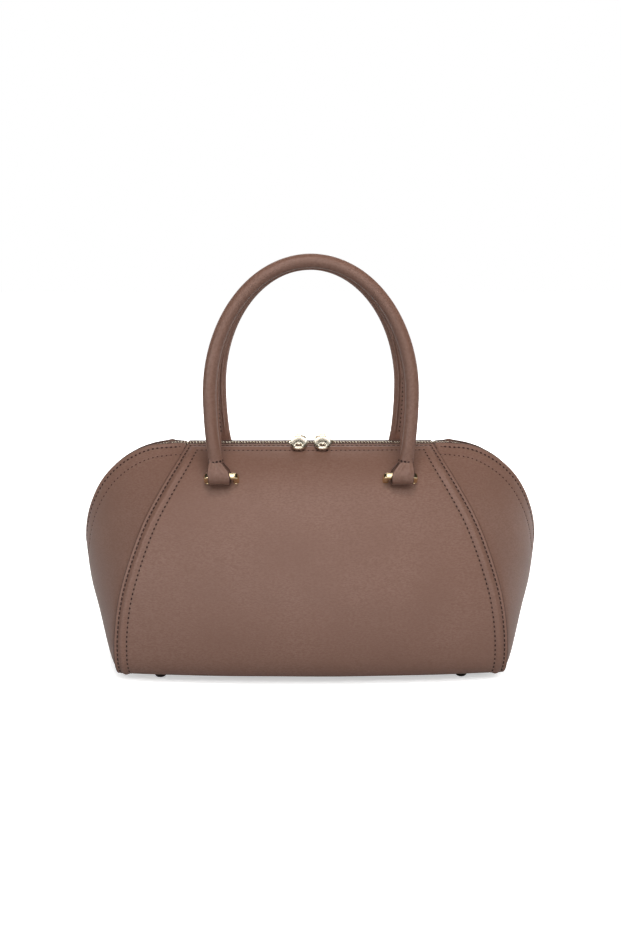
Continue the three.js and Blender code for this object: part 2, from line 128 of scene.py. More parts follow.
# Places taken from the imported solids
PULL_AXES = {joint["child"]: Vector(joint["pos_m"]) for joint in frame["joints"]}
HANDLE_DEPTH = -sum(corner.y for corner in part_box("front_handle")) / 2
FEET = [f"{end}_{side}_foot" for end in ("front", "back") for side in ("left", "right")]


# Sizes and colours that a user may change

def length(name, text, default):
    """A size in metres."""
    return FloatProperty(name=name, description=text, default=default, precision=5, unit="LENGTH")


def turn(name, text, degrees):
    """An angle."""
    return FloatProperty(name=name, description=text, default=math.radians(degrees), subtype="ANGLE")


def colour(name, text, default):
    """A linear colour."""
    return FloatVectorProperty(name=name, description=text, default=default, size=3, min=0, max=1,
                               subtype="COLOR")


class HandbagBody(bpy.types.PropertyGroup):
    """Sizes of the leather body."""
    panel_wall: length("Panel wall", "Thickness of the front and back panels", 2.0 * MM)
    gusset_wall: length("Gusset wall", "Thickness of the side gussets", 1.6 * MM)
    seat_gap: length("Seat gap", "Gap between lapped walls", 0.3 * MM)
    lap: length("Lap", "How far the gusset runs on under the panel's edge", 9.0 * MM)
    zip_slit: length("Zip slit", "Half width of the slit between the leather edges", 4.6 * MM)
    first_row: length("First row", "Stitch row next to a panel's edge", 2.9 * MM)
    second_row: length("Second row", "Stitch row at the inner side of a panel's border", 9.3 * MM)
    wing_first_row: length("Gusset first row", "Stitch row next to the zip", 3.4 * MM)
    wing_second_row: length("Gusset second row", "Second stitch row beside the zip", 10.5 * MM)
    groove: length("Groove", "How deep a stitch row pulls the leather in", 0.22 * MM)
    puff: length("Puff", "How far the border between two rows swells", 1.0 * MM)
    ripple: length("Ripple", "Height of the leather's soft unevenness", 0.10 * MM)


class HandbagStitch(bpy.types.PropertyGroup):
    """Sizes of the stitching."""
    pitch: length("Pitch", "Distance from stitch to stitch", 3.25 * MM)
    long: length("Length", "Length of the thread that shows", 1.7 * MM)
    thick: length("Thickness", "Thickness of the thread", 0.62 * MM)
    hole: length("Hole", "Radius of a needle hole", 0.95 * MM)


class HandbagHandle(bpy.types.PropertyGroup):
    """Sizes of the rolled handles and of their tabs."""
    radius: length("Tube radius", "Radius of the rolled handle", 4.6 * MM)
    half_width: length("Half width", "Half the span of a handle between its tube's middle lines", 67.5 * MM)
    spring_z: length("Spring height", "Height where the legs turn into the arch", 195.0 * MM)
    rise: length("Rise", "Height of the arch above its spring", 88.8 * MM)
    tab_x: length("Tab place", "Half the distance between a handle's two tabs", 62.6 * MM)
    tab_wide: length("Tab width", "Width of a tab at the bar", 14.8 * MM)
    tab_top: length("Cuff edge", "Height of the tube's lower edge above the bar", 9.2 * MM)
    flange: length("Seam flange", "How far the sewn edge of the roll stands proud", 1.5 * MM)


class HandbagFitting(bpy.types.PropertyGroup):
    """Sizes of the metal fittings."""
    bar_radius: length("Bar radius", "Radius of a bridge loop's bar", 2.15 * MM)
    bar_stand: length("Bar stand", "Distance of the bar from the panel", 7.0 * MM)
    bar_height: length("Bar height", "Height of the bars above the floor", 141.2 * MM)
    loop_x: length("Loop place", "Half the distance between a panel's two loops", 60.7 * MM)
    post_span: length("Post span", "Half the distance between a loop's posts", 9.8 * MM)
    elbow: length("Elbow", "Radius of the bend between bar and post", 1.7 * MM)
    tooth_pitch: length("Tooth pitch", "Distance between neighbouring zip teeth of one side", 2.15 * MM)
    pull_rest: turn("Pull rest", "How far a resting pull lies below the level", 19.5)


class HandbagColours(bpy.types.PropertyGroup):
    """Colours of the finishes."""
    leather: colour("Leather", "Satin brown leather", (0.182, 0.103, 0.078))
    # Leather, deep: the deeper tone of the leather's random patches and grain streaks, and also the painted
    # shade in the grain's pits
    leather_deep: colour("Leather, deep", "Deeper patches of the leather", (0.142, 0.075, 0.054))
    edge_paint: colour("Edge paint", "Painted cut edges", (0.050, 0.026, 0.020))
    thread: colour("Thread", "Sewing thread", (0.185, 0.104, 0.080))
    # Needle hole: painted shade, the dark colour of the lens that stands for the shade inside each hole
    hole: colour("Needle hole", "Inside of a needle hole", (0.030, 0.014, 0.010))
    gold: colour("Pale gold", "Plated fittings", (0.880, 0.800, 0.640))
    gold_worn: colour("Pale gold, worn", "Rubbed plating", (0.780, 0.640, 0.430))
    loop_gold: colour("Loop gold", "Warmer plating of the loops", (0.900, 0.720, 0.430))
    stud: colour("Stud metal", "Dark plated studs", (0.060, 0.048, 0.040))
    tape: colour("Zip tape", "Woven tape of the zip", (0.120, 0.066, 0.048))
    floor: colour("Floor", "Studio floor", (0.400, 0.400, 0.400))


class HandbagStage(bpy.types.PropertyGroup):
    """Camera and light."""
    lens: FloatProperty(name="Lens", description="Focal length of the camera", default=36.155, unit="CAMERA")
    camera_pitch: turn("Camera pitch", "How far the camera looks down", 11.0)
    camera_yaw: turn("Camera yaw", "How far the camera looks to the right", 0.39)
    camera_place: FloatVectorProperty(name="Camera place", description="Where the camera stands",
                                      default=(-0.0045, -0.660, 0.2692), subtype="TRANSLATION", unit="LENGTH")
    floor_side: length("Floor", "Side of the floor", 60.0)
    sky: FloatProperty(name="Surrounding light", description="Strength of the white surroundings",
                       default=0.03)


# Curves and surfaces

def unit(vectors):
    """Vectors scaled to length one."""
    sizes = np.linalg.norm(vectors, axis=-1, keepdims=True)
    return vectors / np.maximum(sizes, TINY)


def stack(*columns):
    """Coordinates joined into points."""
    return np.stack(np.broadcast_arrays(*columns), -1)


def smooth_step(low, high, values):
    """0 below low, 1 above high, and an even rise between."""
    part = np.clip((values - low) / (high - low), 0, 1)
    return part * part * (3 - 2 * part)


def bell(values, width):
    """A rounded peak of height one at zero."""
    return np.exp(-((values / width) ** 2))


def spline(values, t):
    """Smooth curve through evenly spaced values, with t from 0 at the first to 1 at the last."""
    last = len(values) - 1
    place = np.clip(t, 0, 1) * last
    start = np.minimum(place.astype(int), last - 1)
    part = place - start
    before, low, high, after = (values[np.clip(start + step, 0, last)] for step in (-1, 0, 1, 2))
    leave = (high - before) / 2
    arrive = (after - low) / 2
    cubic = 2 * low - 2 * high + leave + arrive
    square = 3 * high - 3 * low - 2 * leave - arrive
    return ((cubic * part + square) * part + leave) * part + low


def level(column, t):
    """A column of the level table at t, from 0 at the lower edge to 1 at the ridge."""
    value = spline(LEVEL_TABLE[column], np.asarray(t, float))
    return value if column in PLAIN_COLUMNS else value * MM


def reach_of(points):
    """Distance travelled along a line of points."""
    steps = np.linalg.norm(np.diff(points, axis=0), axis=1)
    return np.concatenate([[0], np.cumsum(steps)])


def value_at(line, values, places):
    """Values that go with a line's points, at travelled distances along it."""
    reach = reach_of(line)
    return np.stack([np.interp(places, reach, values[:, axis]) for axis in range(values.shape[1])], -1)


def point_at(line, places):
    """Points at travelled distances along a line."""
    return value_at(line, line, places)


def direction_at(line, places, step):
    """Directions of a line at travelled distances along it."""
    return unit(point_at(line, places + step) - point_at(line, places - step))


def evenly(line, count):
    """A line resampled to evenly spaced points."""
    return point_at(line, np.linspace(0, reach_of(line)[-1], count))


def panel_point(t, q):
    """The front panel's plain face: t runs up it and q across it, from -1 to 1."""
    centre = level("centre_y", t)
    depth = centre + (level("seam_y", t) - centre) * np.abs(q) ** PANEL_FALL
    return stack(q * level("seam_x", t), -depth, level("height", t))


def panel_normal(t, q, step=SLOPE_STEP):
    """The panel's outward direction, by differences."""
    across = panel_point(t, np.minimum(q + step, 1)) - panel_point(t, np.maximum(q - step, -1))
    along = panel_point(np.minimum(t + step, 1), q) - panel_point(np.maximum(t - step, 0), q)
    return unit(np.cross(across, along))


RISE_T = np.linspace(0, 1, RISE_STEPS)
RISE_REACH = reach_of(panel_point(RISE_T, np.zeros_like(RISE_T)))
PANEL_RISE = RISE_REACH[-1]


def below_ridge(t):
    """Distance down the panel from its top edge."""
    return PANEL_RISE - np.interp(t, RISE_T, RISE_REACH)


def t_below_ridge(distance):
    """The t at a distance down the panel from its top edge."""
    return np.interp(PANEL_RISE - np.asarray(distance), RISE_REACH, RISE_T)


def edge_slant(t, step=SLOPE_STEP):
    """Cosine of the slant of the panel's side edge."""
    low = panel_point(np.maximum(t - step, 0), np.ones_like(t))
    high = panel_point(np.minimum(t + step, 1), np.ones_like(t))
    rise = high - low
    return np.linalg.norm(rise[..., 1:], axis=-1) / np.linalg.norm(rise, axis=-1)


def grooves(inside, first_row, second_row, width):
    """How deep the grooves of two stitch rows are at a distance from the edge, as a share of the first."""
    return bell(inside - first_row, width) + SECOND_GROOVE * bell(inside - second_row, width)


def panel_relief(body, t, q):
    """Height of the panel's worked surface over its plain face."""
    to_side = (1 - np.abs(q)) * level("seam_x", t) * edge_slant(t)
    inside = np.minimum(to_side, below_ridge(t))
    height = -body.groove * grooves(inside, body.first_row, body.second_row, GROOVE_WIDTH)
    band = np.clip((inside - body.first_row) / (body.second_row - body.first_row), 0, 1)
    height += body.puff * np.sin(np.pi * band) ** 2
    middle = smooth_step(body.second_row, RIPPLE_FULL * body.second_row, inside)
    x = q * level("seam_x", t)
    z = level("height", t)
    waves = sum(share * np.cos(across * x + up * z + phase) for share, across, up, phase in RIPPLE_WAVES)
    return height + middle * body.ripple * waves


def panel_surface(body, t, q, lift=0.0):
    """The front panel's worked face, with its top edge lifted."""
    face = panel_point(t, q) + panel_normal(t, q) * panel_relief(body, t, q)[..., None]
    face[..., 2] += lift * smooth_step(*TOP_EDGE_T, t)
    return face


def tip_place(t):
    """The line down the middle of a gusset and of the zip: how far out and how high."""
    crown = CROWN * np.sin(np.pi * np.clip((t - CROWN_T) / (1 - CROWN_T), 0, 1))
    return level("tip_x", t), level("tip_z", t) + crown


def wing_point(body, t, k, edge_sunk=EDGE_SUNK):
    """The right gusset's front half: k runs from the seam, 0, to the middle line, 1."""
    one = np.ones_like(t)
    seam = panel_point(t, one) - panel_normal(t, one) * (body.panel_wall + body.seat_gap)
    sunk = edge_sunk * smooth_step(*EDGE_SUNK_T, t)
    out, height = tip_place(t)
    tip = stack(out, -body.zip_slit - body.gusset_wall / 2, height - sunk)
    middle = (seam + tip) / 2
    shoulder = stack(tip[..., 0], seam[..., 1] * GUSSET_SHOULDER, middle[..., 2])
    control = middle + (shoulder - middle) * np.clip(level("full", t), 0, 1)[..., None]
    inward = unit(stack(seam[..., 1] - tip[..., 1], tip[..., 0] - seam[..., 0], 0.0))
    dent = level("dip", t) * smooth_step(0, DIP_MIDDLE, k) * smooth_step(0, 1 - DIP_MIDDLE, 1 - k)
    lift = RIDGE_LIFT * smooth_step(*RIDGE_LIFT_T, t) * smooth_step(*RIDGE_LIFT_K, k) * (1 - k)
    inward = inward * dent[..., None] + stack(0.0, 0.0, lift)
    k = np.asarray(k)[..., None]
    return (1 - k) ** 2 * seam + 2 * k * (1 - k) * control + k**2 * tip + inward


# Meshes

def grid_quads(rows, columns, keep=None):
    """Corner numbers of a grid's cells."""
    corner = np.arange(rows * columns).reshape(rows, columns)
    cells = stack(corner[:-1, :-1], corner[:-1, 1:], corner[1:, 1:], corner[1:, :-1])
    return cells.reshape(-1, 4) if keep is None else cells[keep]


def vertex_normals(points, quads):
    """Directions of a surface of quads at its points."""
    a, b, c, d = (points[quads[:, corner]] for corner in range(4))
    areas = np.cross(c - a, d - b)
    total = np.zeros_like(points)
    for corner in range(4):
        np.add.at(total, quads[:, corner], areas)
    return unit(total)


def shell(points, quads, wall):
    """A wall under an open surface, with rounded edges. Gives points, quads and a mark on the cut edges."""
    used, quads = np.unique(quads, return_inverse=True)
    quads = quads.reshape(-1, 4)
    points = points[used]
    count = len(points)
    normal = vertex_normals(points, quads)
    start, end = quads.ravel(), np.roll(quads, -1, axis=1).ravel()
    rim = ~np.isin(start * count + end, end * count + start)
    start, end = start[rim], end[rim]
    side = unit(np.cross(points[end] - points[start], normal[start] + normal[end]))
    outward = np.zeros_like(points)
    np.add.at(outward, start, side)
    np.add.at(outward, end, side)
    ring = np.unique(start)
    order = np.zeros(count, int)
    order[ring] = np.arange(len(ring))
    outward = outward[ring]
    outward *= 2 / np.maximum((outward**2).sum(-1, keepdims=True), SHARP_CORNER)
    layers, marks = [points], [np.zeros(count)]
    for step in range(1, EDGE_RINGS):
        angle = math.pi * step / EDGE_RINGS
        drop = normal[ring] * (1 - math.cos(angle))
        layers.append(points[ring] + wall / 2 * (outward * math.sin(angle) - drop))
        marks.append(np.ones(len(ring)))
    layers.append(points - normal * wall)
    marks.append(np.zeros(count))
    inner = count + (EDGE_RINGS - 1) * len(ring)

    def number(step, corners):
        """Point numbers of corners in a layer of the wall."""
        if step == 0:
            return corners
        if step == EDGE_RINGS:
            return corners + inner
        return count + (step - 1) * len(ring) + order[corners]

    skirts = [stack(number(step, end), number(step, start), number(step + 1, start), number(step + 1, end))
              for step in range(EDGE_RINGS)]
    faces = np.concatenate([quads, quads[:, ::-1] + inner, *skirts])
    return np.concatenate(layers), faces, np.concatenate(marks)


def closed_tube(rings):
    """A closed tube through rings of points, with its ends capped."""
    count, sides = rings.shape[:2]
    corner = np.arange(count * sides).reshape(count, sides)
    after = np.roll(corner, -1, axis=1)
    walls = stack(corner[:-1], after[:-1], after[1:], corner[1:]).reshape(-1, 4)
    return rings.reshape(-1, 3), [*walls.tolist(), corner[0][::-1].tolist(), corner[-1].tolist()]


def flat_sweep(path, section):
    """Rings of a section (outward, sideways) carried along a path in a plane y = constant."""
    tangent = unit(np.gradient(path, axis=0))
    outward = stack(-tangent[:, 2], 0.0, tangent[:, 0])
    sideways = np.array([0.0, 1.0, 0.0])
    return path[:, None] + outward[:, None] * section[..., 0:1] + sideways * section[..., 1:2]


def round_angles(sides):
    """Angles once round a circle."""
    return np.linspace(0, 2 * math.pi, sides, endpoint=False)


def round_section(radius, sides):
    """A circle's points."""
    angle = round_angles(sides)
    return radius * stack(np.cos(angle), np.sin(angle))


def squared_section(power, sides=SWEEP_SIDES):
    """A rounded square's points, of half size one: rounder for a lower power."""
    angle = round_angles(sides)
    wave = stack(np.cos(angle), np.sin(angle))
    return np.sign(wave) * np.abs(wave) ** (2 / power)


def closed_ring(rings):
    """A tube through rings of points whose last ring meets the first."""
    count, sides = rings.shape[:2]
    corner = np.arange(count * sides).reshape(count, sides)
    around = np.roll(corner, -1, axis=1)
    onward = np.roll(corner, -1, axis=0)
    faces = stack(corner, around, np.roll(around, -1, axis=0), onward)
    return rings.reshape(-1, 3), faces.reshape(-1, 4)


def lathe(profile):
    """A closed form turned about Z through rows of radius and height."""
    angle = round_angles(LATHE_SIDES)
    radius, height = np.array(profile).T[..., None]
    return closed_tube(stack(radius * np.cos(angle), radius * np.sin(angle), height))


def at_height(outline, height):
    """A flat outline as points at a height."""
    return np.column_stack([outline, np.full(len(outline), height)])


class Gathered:
    """Several closed forms gathered into one mesh, each with its finish."""

    def __init__(self):
        self.points, self.faces, self.finishes, self.count = [], [], [], 0

    def add(self, points, faces, finish=0):
        """One closed form."""
        points = np.asarray(points).reshape(-1, 3)
        self.points.append(points)
        self.faces += [[corner + self.count for corner in face] for face in np_faces(faces)]
        self.finishes += [finish] * len(faces)
        self.count += len(points)

    def add_copies(self, points, faces, finish=0):
        """Many forms of the same faces, one for each row of points."""
        for one in points:
            self.add(one, faces, finish)


def np_faces(faces):
    """Faces as plain lists."""
    return faces.tolist() if isinstance(faces, np.ndarray) else faces


def make_object(name, points, faces, materials, marks=None, finishes=None):
    """A mesh object in the scene, smooth apart from its sharp edges."""
    mesh = bpy.data.meshes.new(name)
    mesh.from_pydata(np.asarray(points).tolist(), [], np_faces(faces))
    for material in materials:
        mesh.materials.append(material)
    if finishes is not None:
        mesh.polygons.foreach_set("material_index", finishes)
    for mark, values in (marks or {}).items():
        attribute = mesh.attributes.new(mark, "FLOAT", "POINT")
        attribute.data.foreach_set("value", np.asarray(values, np.float32))
    work = bmesh.new()
    work.from_mesh(mesh)
    bmesh.ops.recalc_face_normals(work, faces=work.faces)
    work.to_mesh(mesh)
    work.free()
    mesh.shade_smooth()
    mesh.set_sharp_from_angle(angle=SHARP_ANGLE)
    made = bpy.data.objects.new(name, mesh)
    bpy.context.scene.collection.objects.link(made)
    return made


def settle(made, nodes=(), body="bag"):
    """Seats a piece on its body, in place of its plain solids."""
    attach(made, body)
    if nodes:
        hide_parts(*nodes)


def turned_about_z(points):
    """Points turned half a turn about the bag's upright axis."""
    return points * np.array([-1.0, -1.0, 1.0])


def mirrored(points):
    """Points mirrored from one side of the bag to the other."""
    return points * np.array([-1.0, 1.0, 1.0])


def to_back(points):
    """Points mirrored from the front of the bag to its back."""
    return points * np.array([1.0, -1.0, 1.0])


# Stitching

THREAD_STEPS = np.linspace(-1, 1, 7)
THREAD_SIDES = 6
THREAD_SLANT = 0.18 * MM
THREAD_LOOK = 0.2 * MM
# The share of a thread's thickness that is the same in bold and fine rows, its arch, its depth and its tips
THREAD_FIXED = 0.4
THREAD_ARCH = 0.55
THREAD_SUNK = 0.35
THREAD_TIP = 0.12
HOLE_SIDES = 8
HOLE_LONG = 1.15
HOLE_WIDE = 0.9
HOLE_LIFT = 0.10 * MM
HOLE_POLES = (0.13 * MM, -0.25 * MM)


def thread_faces():
    """Faces of one stitch: a short thread with closed ends."""
    return closed_tube(np.zeros((len(THREAD_STEPS), THREAD_SIDES, 3)))[1]


def hole_faces():
    """Faces of one needle hole: a flat lens that carries the hole's painted shade."""
    faces = []
    for corner in range(HOLE_SIDES):
        after = (corner + 1) % HOLE_SIDES
        faces += [[corner, after, HOLE_SIDES], [after, corner, HOLE_SIDES + 1]]
    return faces


def sew(seams, stitch, line, up, size=1.0, closeness=1.0):
    """Adds a row of stitches and needle holes along a line that lies on a surface facing up. The holes are
    flat lenses of painted shade.
    """
    total = reach_of(line)[-1]
    count = int(total * closeness / stitch.pitch)
    pitch = total / count
    centres = (np.arange(count) + 0.5) * pitch
    places = centres[:, None] + THREAD_STEPS * stitch.long / 2 / closeness

    def frame_at(where):
        """Points at places along the row, with the directions up, ahead and to the side."""
        flat = where.ravel()
        lift = unit(value_at(line, up, flat))
        ahead = direction_at(line, flat, THREAD_LOOK)
        vectors = (point_at(line, flat), lift, ahead, unit(np.cross(lift, ahead)))
        return [vector.reshape(*where.shape, 3) for vector in vectors]

    here, lift, _, side = frame_at(places)
    bulge = (1 - np.abs(THREAD_STEPS) ** 3)[None, :, None]
    thick = stitch.thick * (THREAD_FIXED + (1 - THREAD_FIXED) * size)
    middle = here + lift * thick * (THREAD_ARCH * bulge - THREAD_SUNK)
    middle = middle + side * THREAD_SLANT * THREAD_STEPS[None, :, None]
    radius = thick / 2 * np.sqrt(np.maximum(1 - THREAD_STEPS**4, THREAD_TIP))[None, :, None, None]
    around = round_angles(THREAD_SIDES)[None, None, :, None]
    circle = side[:, :, None] * np.cos(around) + lift[:, :, None] * np.sin(around)
    seams.add_copies(middle[:, :, None] + radius * circle, thread_faces(), 0)

    # The needle holes: flat dark lenses of painted shade between the stitches
    here, lift, ahead, side = frame_at(np.arange(count + 1) * pitch)
    around = round_angles(HOLE_SIDES)[None, :, None]
    oval = HOLE_LONG * ahead[:, None] * np.cos(around) + HOLE_WIDE * side[:, None] * np.sin(around)
    rim = here[:, None] + stitch.hole * size * oval + lift[:, None] * HOLE_LIFT
    poles = here[:, None] + lift[:, None] * np.array(HOLE_POLES)[None, :, None]
    seams.add_copies(np.concatenate([rim, poles], axis=1), hole_faces(), 1)


def sewn_object(name, seams):
    """The stitches of a piece as one object."""
    made = make_object(name, np.concatenate(seams.points), seams.faces, [thread_finish(), needle_hole_shade_finish()],
                       finishes=seams.finishes)
    settle(made)


# Finishes

WHITE = (1, 1, 1, 1)
BLACK = (0, 0, 0, 1)
PEBBLE_SHARE = 0.45
EDGE_COVER = 0.85
LEATHER_IOR = 1.40
GRAIN_GLOSS = 0.05
HAIRLINE_GLOSS = 0.12
HAIRLINE_DEPTH = 0.012 * MM
THREAD_SHADE = 0.6
HOLE_SHADE = 0.5
TAPE_SHADE = 0.5
STUD_RUBBED = 2.5
# The floor's colour in view, and how it glows in view near the bag and further away, in metres
FLOOR_SEEN = (0.9, 0.9, 0.9)
FLOOR_GLOW = (0.5, 1.0)
FLOOR_GLOW_REACH = (0.4, 1.3)


def made_once(store, name):
    """Wraps the maker of a named finish or group, so that it is made once and then used again."""
    def keep(make):
        @wraps(make)
        def give():
            kept = getattr(bpy.data, store)
            return kept[name] if name in kept else make(name)
        return give
    return keep


def scaled(tint, share):
    """A colour made darker or lighter."""
    return tuple(share * part for part in tint)


def add_node(tree, kind, values=None, **settings):
    """A node with its settings and its input values."""
    node = tree.nodes.new(kind)
    for name, value in settings.items():
        setattr(node, name, value)
    for name, value in (values or {}).items():
        node.inputs[name].default_value = value
    return node


def maths(tree, operation, first, second):
    """A maths node whose inputs are sockets or numbers."""
    node = tree.nodes.new("ShaderNodeMath")
    node.operation = operation
    for socket, value in zip(node.inputs, (first, second)):
        if isinstance(value, bpy.types.NodeSocket):
            tree.links.new(value, socket)
        else:
            socket.default_value = value
    return node.outputs[0]


def spread(tree, value, to, over=(0.3, 0.7)):
    """A value stretched from the range over to the range to."""
    node = add_node(tree, "ShaderNodeMapRange", {"From Min": over[0], "From Max": over[1],
                                                 "To Min": to[0], "To Max": to[1]})
    tree.links.new(value, node.inputs["Value"])
    return node.outputs["Result"]


def mixed(tree, factor, first, second):
    """A colour between two, each a socket or a colour."""
    node = add_node(tree, "ShaderNodeMix", data_type="RGBA")
    colours = [socket for socket in node.inputs if socket.type == "RGBA"]
    tree.links.new(factor, node.inputs[0])
    for socket, value in zip(colours, (first, second)):
        if isinstance(value, bpy.types.NodeSocket):
            tree.links.new(value, socket)
        else:
            socket.default_value = (*value, 1)
    return next(socket for socket in node.outputs if socket.type == "RGBA")


def new_group(name, inputs, outputs):
    """An empty shader group with named sockets: inputs have a kind and a default, outputs a kind."""
    group = bpy.data.node_groups.new(name, "ShaderNodeTree")
    for socket, (kind, default) in inputs.items():
        made = group.interface.new_socket(socket, in_out="INPUT", socket_type=f"NodeSocket{kind}")
        made.default_value = default
    for socket, kind in outputs.items():
        group.interface.new_socket(socket, in_out="OUTPUT", socket_type=f"NodeSocket{kind}")
    return group, group.nodes.new("NodeGroupInput"), group.nodes.new("NodeGroupOutput")


@made_once("node_groups", "Pressed grain")
def grain_group(name):
    """Pressed grain of leather: fine streaked pores, and broad soft patches."""
    inputs = {"Fineness": ("Float", 1500.0), "Streak": ("Float", 2.0)}
    outputs = {"Height": "Float", "Streaks": "Float", "Patches": "Float"}
    group, given, result = new_group(name, inputs, outputs)
    place = add_node(group, "ShaderNodeTexCoord")
    stretch = add_node(group, "ShaderNodeCombineXYZ", {"X": 1.0, "Y": 1.0})
    group.links.new(given.outputs["Streak"], stretch.inputs["Z"])
    across = add_node(group, "ShaderNodeVectorMath", operation="MULTIPLY")
    group.links.new(place.outputs["Object"], across.inputs[0])
    group.links.new(stretch.outputs["Vector"], across.inputs[1])
    pores = add_node(group, "ShaderNodeTexNoise", {"Detail": 2.5, "Roughness": 0.6})
    cells = add_node(group, "ShaderNodeTexVoronoi", feature="SMOOTH_F1")
    for texture in (pores, cells):
        group.links.new(across.outputs["Vector"], texture.inputs["Vector"])
        group.links.new(given.outputs["Fineness"], texture.inputs["Scale"])
    streaks = add_node(group, "ShaderNodeTexNoise", {"Scale": 540.0, "Detail": 2.0, "Roughness": 0.6})
    group.links.new(across.outputs["Vector"], streaks.inputs["Vector"])
    group.links.new(streaks.outputs["Fac"], result.inputs["Streaks"])
    patches = add_node(group, "ShaderNodeTexNoise", {"Scale": 22.0, "Detail": 3.0, "Roughness": 0.55})
    group.links.new(place.outputs["Object"], patches.inputs["Vector"])
    pebbles = maths(group, "MULTIPLY", cells.outputs["Distance"], PEBBLE_SHARE)
    group.links.new(maths(group, "ADD", pores.outputs["Fac"], pebbles), result.inputs["Height"])
    group.links.new(patches.outputs["Fac"], result.inputs["Patches"])
    return group


@made_once("node_groups", "Painted edge")
def edge_group(name):
    """Painted cut edges: a colour that gives way to paint where the mesh marks an edge."""
    inputs = {"Colour": ("Color", WHITE), "Paint": ("Color", BLACK), "Cover": ("Float", 1.0)}
    group, given, result = new_group(name, inputs, {"Colour": "Color"})
    mark = add_node(group, "ShaderNodeAttribute", attribute_name="edge")
    cover = maths(group, "MULTIPLY", mark.outputs["Fac"], given.outputs["Cover"])
    painted = mixed(group, cover, given.outputs["Colour"], given.outputs["Paint"])
    group.links.new(painted, result.inputs["Colour"])
    return group


@made_once("node_groups", "Handled metal")
def scratch_group(name):
    """Hairline scratches and smears of handled metal."""
    inputs = {"Fineness": ("Float", 900.0)}
    group, given, result = new_group(name, inputs, {"Hairlines": "Float", "Smears": "Float"})
    place = add_node(group, "ShaderNodeTexCoord")
    stretch = add_node(group, "ShaderNodeMapping", {"Rotation": (0.4, 0.3, 0.6), "Scale": (1.0, 0.12, 1.0)})
    group.links.new(place.outputs["Object"], stretch.inputs["Vector"])
    lines = add_node(group, "ShaderNodeTexNoise", {"Detail": 3.0, "Roughness": 0.7})
    group.links.new(stretch.outputs["Vector"], lines.inputs["Vector"])
    group.links.new(given.outputs["Fineness"], lines.inputs["Scale"])
    smears = add_node(group, "ShaderNodeTexNoise", {"Scale": 260.0, "Detail": 2.0})
    group.links.new(place.outputs["Object"], smears.inputs["Vector"])
    group.links.new(lines.outputs["Fac"], result.inputs["Hairlines"])
    group.links.new(smears.outputs["Fac"], result.inputs["Smears"])
    return group


def place_group(tree, group, values):
    """A group placed in a material with its own values."""
    return add_node(tree, "ShaderNodeGroup", values, node_tree=group)


def new_material(name):
    """A material with its node tree and its shader."""
    material = bpy.data.materials.new(name)
    material.use_nodes = True
    return material, material.node_tree, material.node_tree.nodes["Principled BSDF"]


def relief(tree, shader, height, depth):
    """Bump from a height, which is scaled to a depth in metres, into the shader's normal."""
    bump = add_node(tree, "ShaderNodeBump", {"Distance": depth, "Strength": 1.0})
    tree.links.new(height, bump.inputs["Height"])
    tree.links.new(bump.outputs["Normal"], shader.inputs["Normal"])


def leather_material(name, fineness, streak, roughness, depth):
    """Satin leather with pressed grain, soft patches, painted shade in the grain's pits and painted edges."""
    colours = bpy.context.scene.handbag_colours
    material, tree, shader = new_material(name)
    grain = place_group(tree, grain_group(), {"Fineness": fineness, "Streak": streak})
    patch = spread(tree, grain.outputs["Patches"], to=(0.0, 0.7))
    hide = mixed(tree, patch, colours.leather, colours.leather_deep)
    streaked = spread(tree, grain.outputs["Streaks"], to=(1.0, 0.0), over=(0.38, 0.62))
    hide = mixed(tree, streaked, hide, colours.leather_deep)
    # Darker where the grain's bump is low: painted shade in the pits
    pit_shade = spread(tree, grain.outputs["Height"], to=(0.22, 0.0), over=(0.45, 0.85))
    hide = mixed(tree, pit_shade, hide, colours.leather_deep)
    edge = place_group(tree, edge_group(), {"Paint": (*colours.edge_paint, 1), "Cover": EDGE_COVER})
    tree.links.new(hide, edge.inputs["Colour"])
    tree.links.new(edge.outputs["Colour"], shader.inputs["Base Color"])
    rough = (roughness + GRAIN_GLOSS, roughness - GRAIN_GLOSS)
    gloss = spread(tree, grain.outputs["Height"], to=rough, over=(0.4, 0.9))
    tree.links.new(gloss, shader.inputs["Roughness"])
    shader.inputs["IOR"].default_value = LEATHER_IOR
    relief(tree, shader, grain.outputs["Height"], depth)
    return material


@made_once("materials", "Body leather")
def leather_finish(name):
    """Leather of the panels, gussets and base."""
    return leather_material(name, fineness=1300.0, streak=2.4, roughness=0.47, depth=0.06 * MM)


@made_once("materials", "Handle leather")
def handle_finish(name):
    """Leather of the rolled handles and their tabs."""
    return leather_material(name, fineness=1700.0, streak=1.0, roughness=0.40, depth=0.04 * MM)


@made_once("materials", "Thread")
def thread_finish(name):
    """Waxed sewing thread with its twist."""
    colours = bpy.context.scene.handbag_colours
    material, tree, shader = new_material(name)
    place = add_node(tree, "ShaderNodeTexCoord")
    strands = add_node(tree, "ShaderNodeTexNoise", {"Scale": 2600.0, "Detail": 2.0})
    tree.links.new(place.outputs["Object"], strands.inputs["Vector"])
    lit = spread(tree, strands.outputs["Fac"], to=(0.0, 1.0))
    twisted = mixed(tree, lit, scaled(colours.thread, THREAD_SHADE), colours.thread)
    tree.links.new(twisted, shader.inputs["Base Color"])
    tree.links.new(spread(tree, strands.outputs["Fac"], to=(0.6, 0.45)), shader.inputs["Roughness"])
    relief(tree, shader, strands.outputs["Fac"], depth=0.06 * MM)
    return material


@made_once("materials", "Needle hole")
def needle_hole_shade_finish(name):
    """Painted shade inside a needle hole: the dark finish of the flat lens that stands for the hole's shade,
    with a little random grain.
    """
    colours = bpy.context.scene.handbag_colours
    material, tree, shader = new_material(name)
    grain = place_group(tree, grain_group(), {"Fineness": 2400.0, "Streak": 1.0})
    dark = scaled(colours.hole, HOLE_SHADE)
    tree.links.new(mixed(tree, grain.outputs["Height"], dark, colours.hole), shader.inputs["Base Color"])
    shader.inputs["Roughness"].default_value = 0.9
    return material


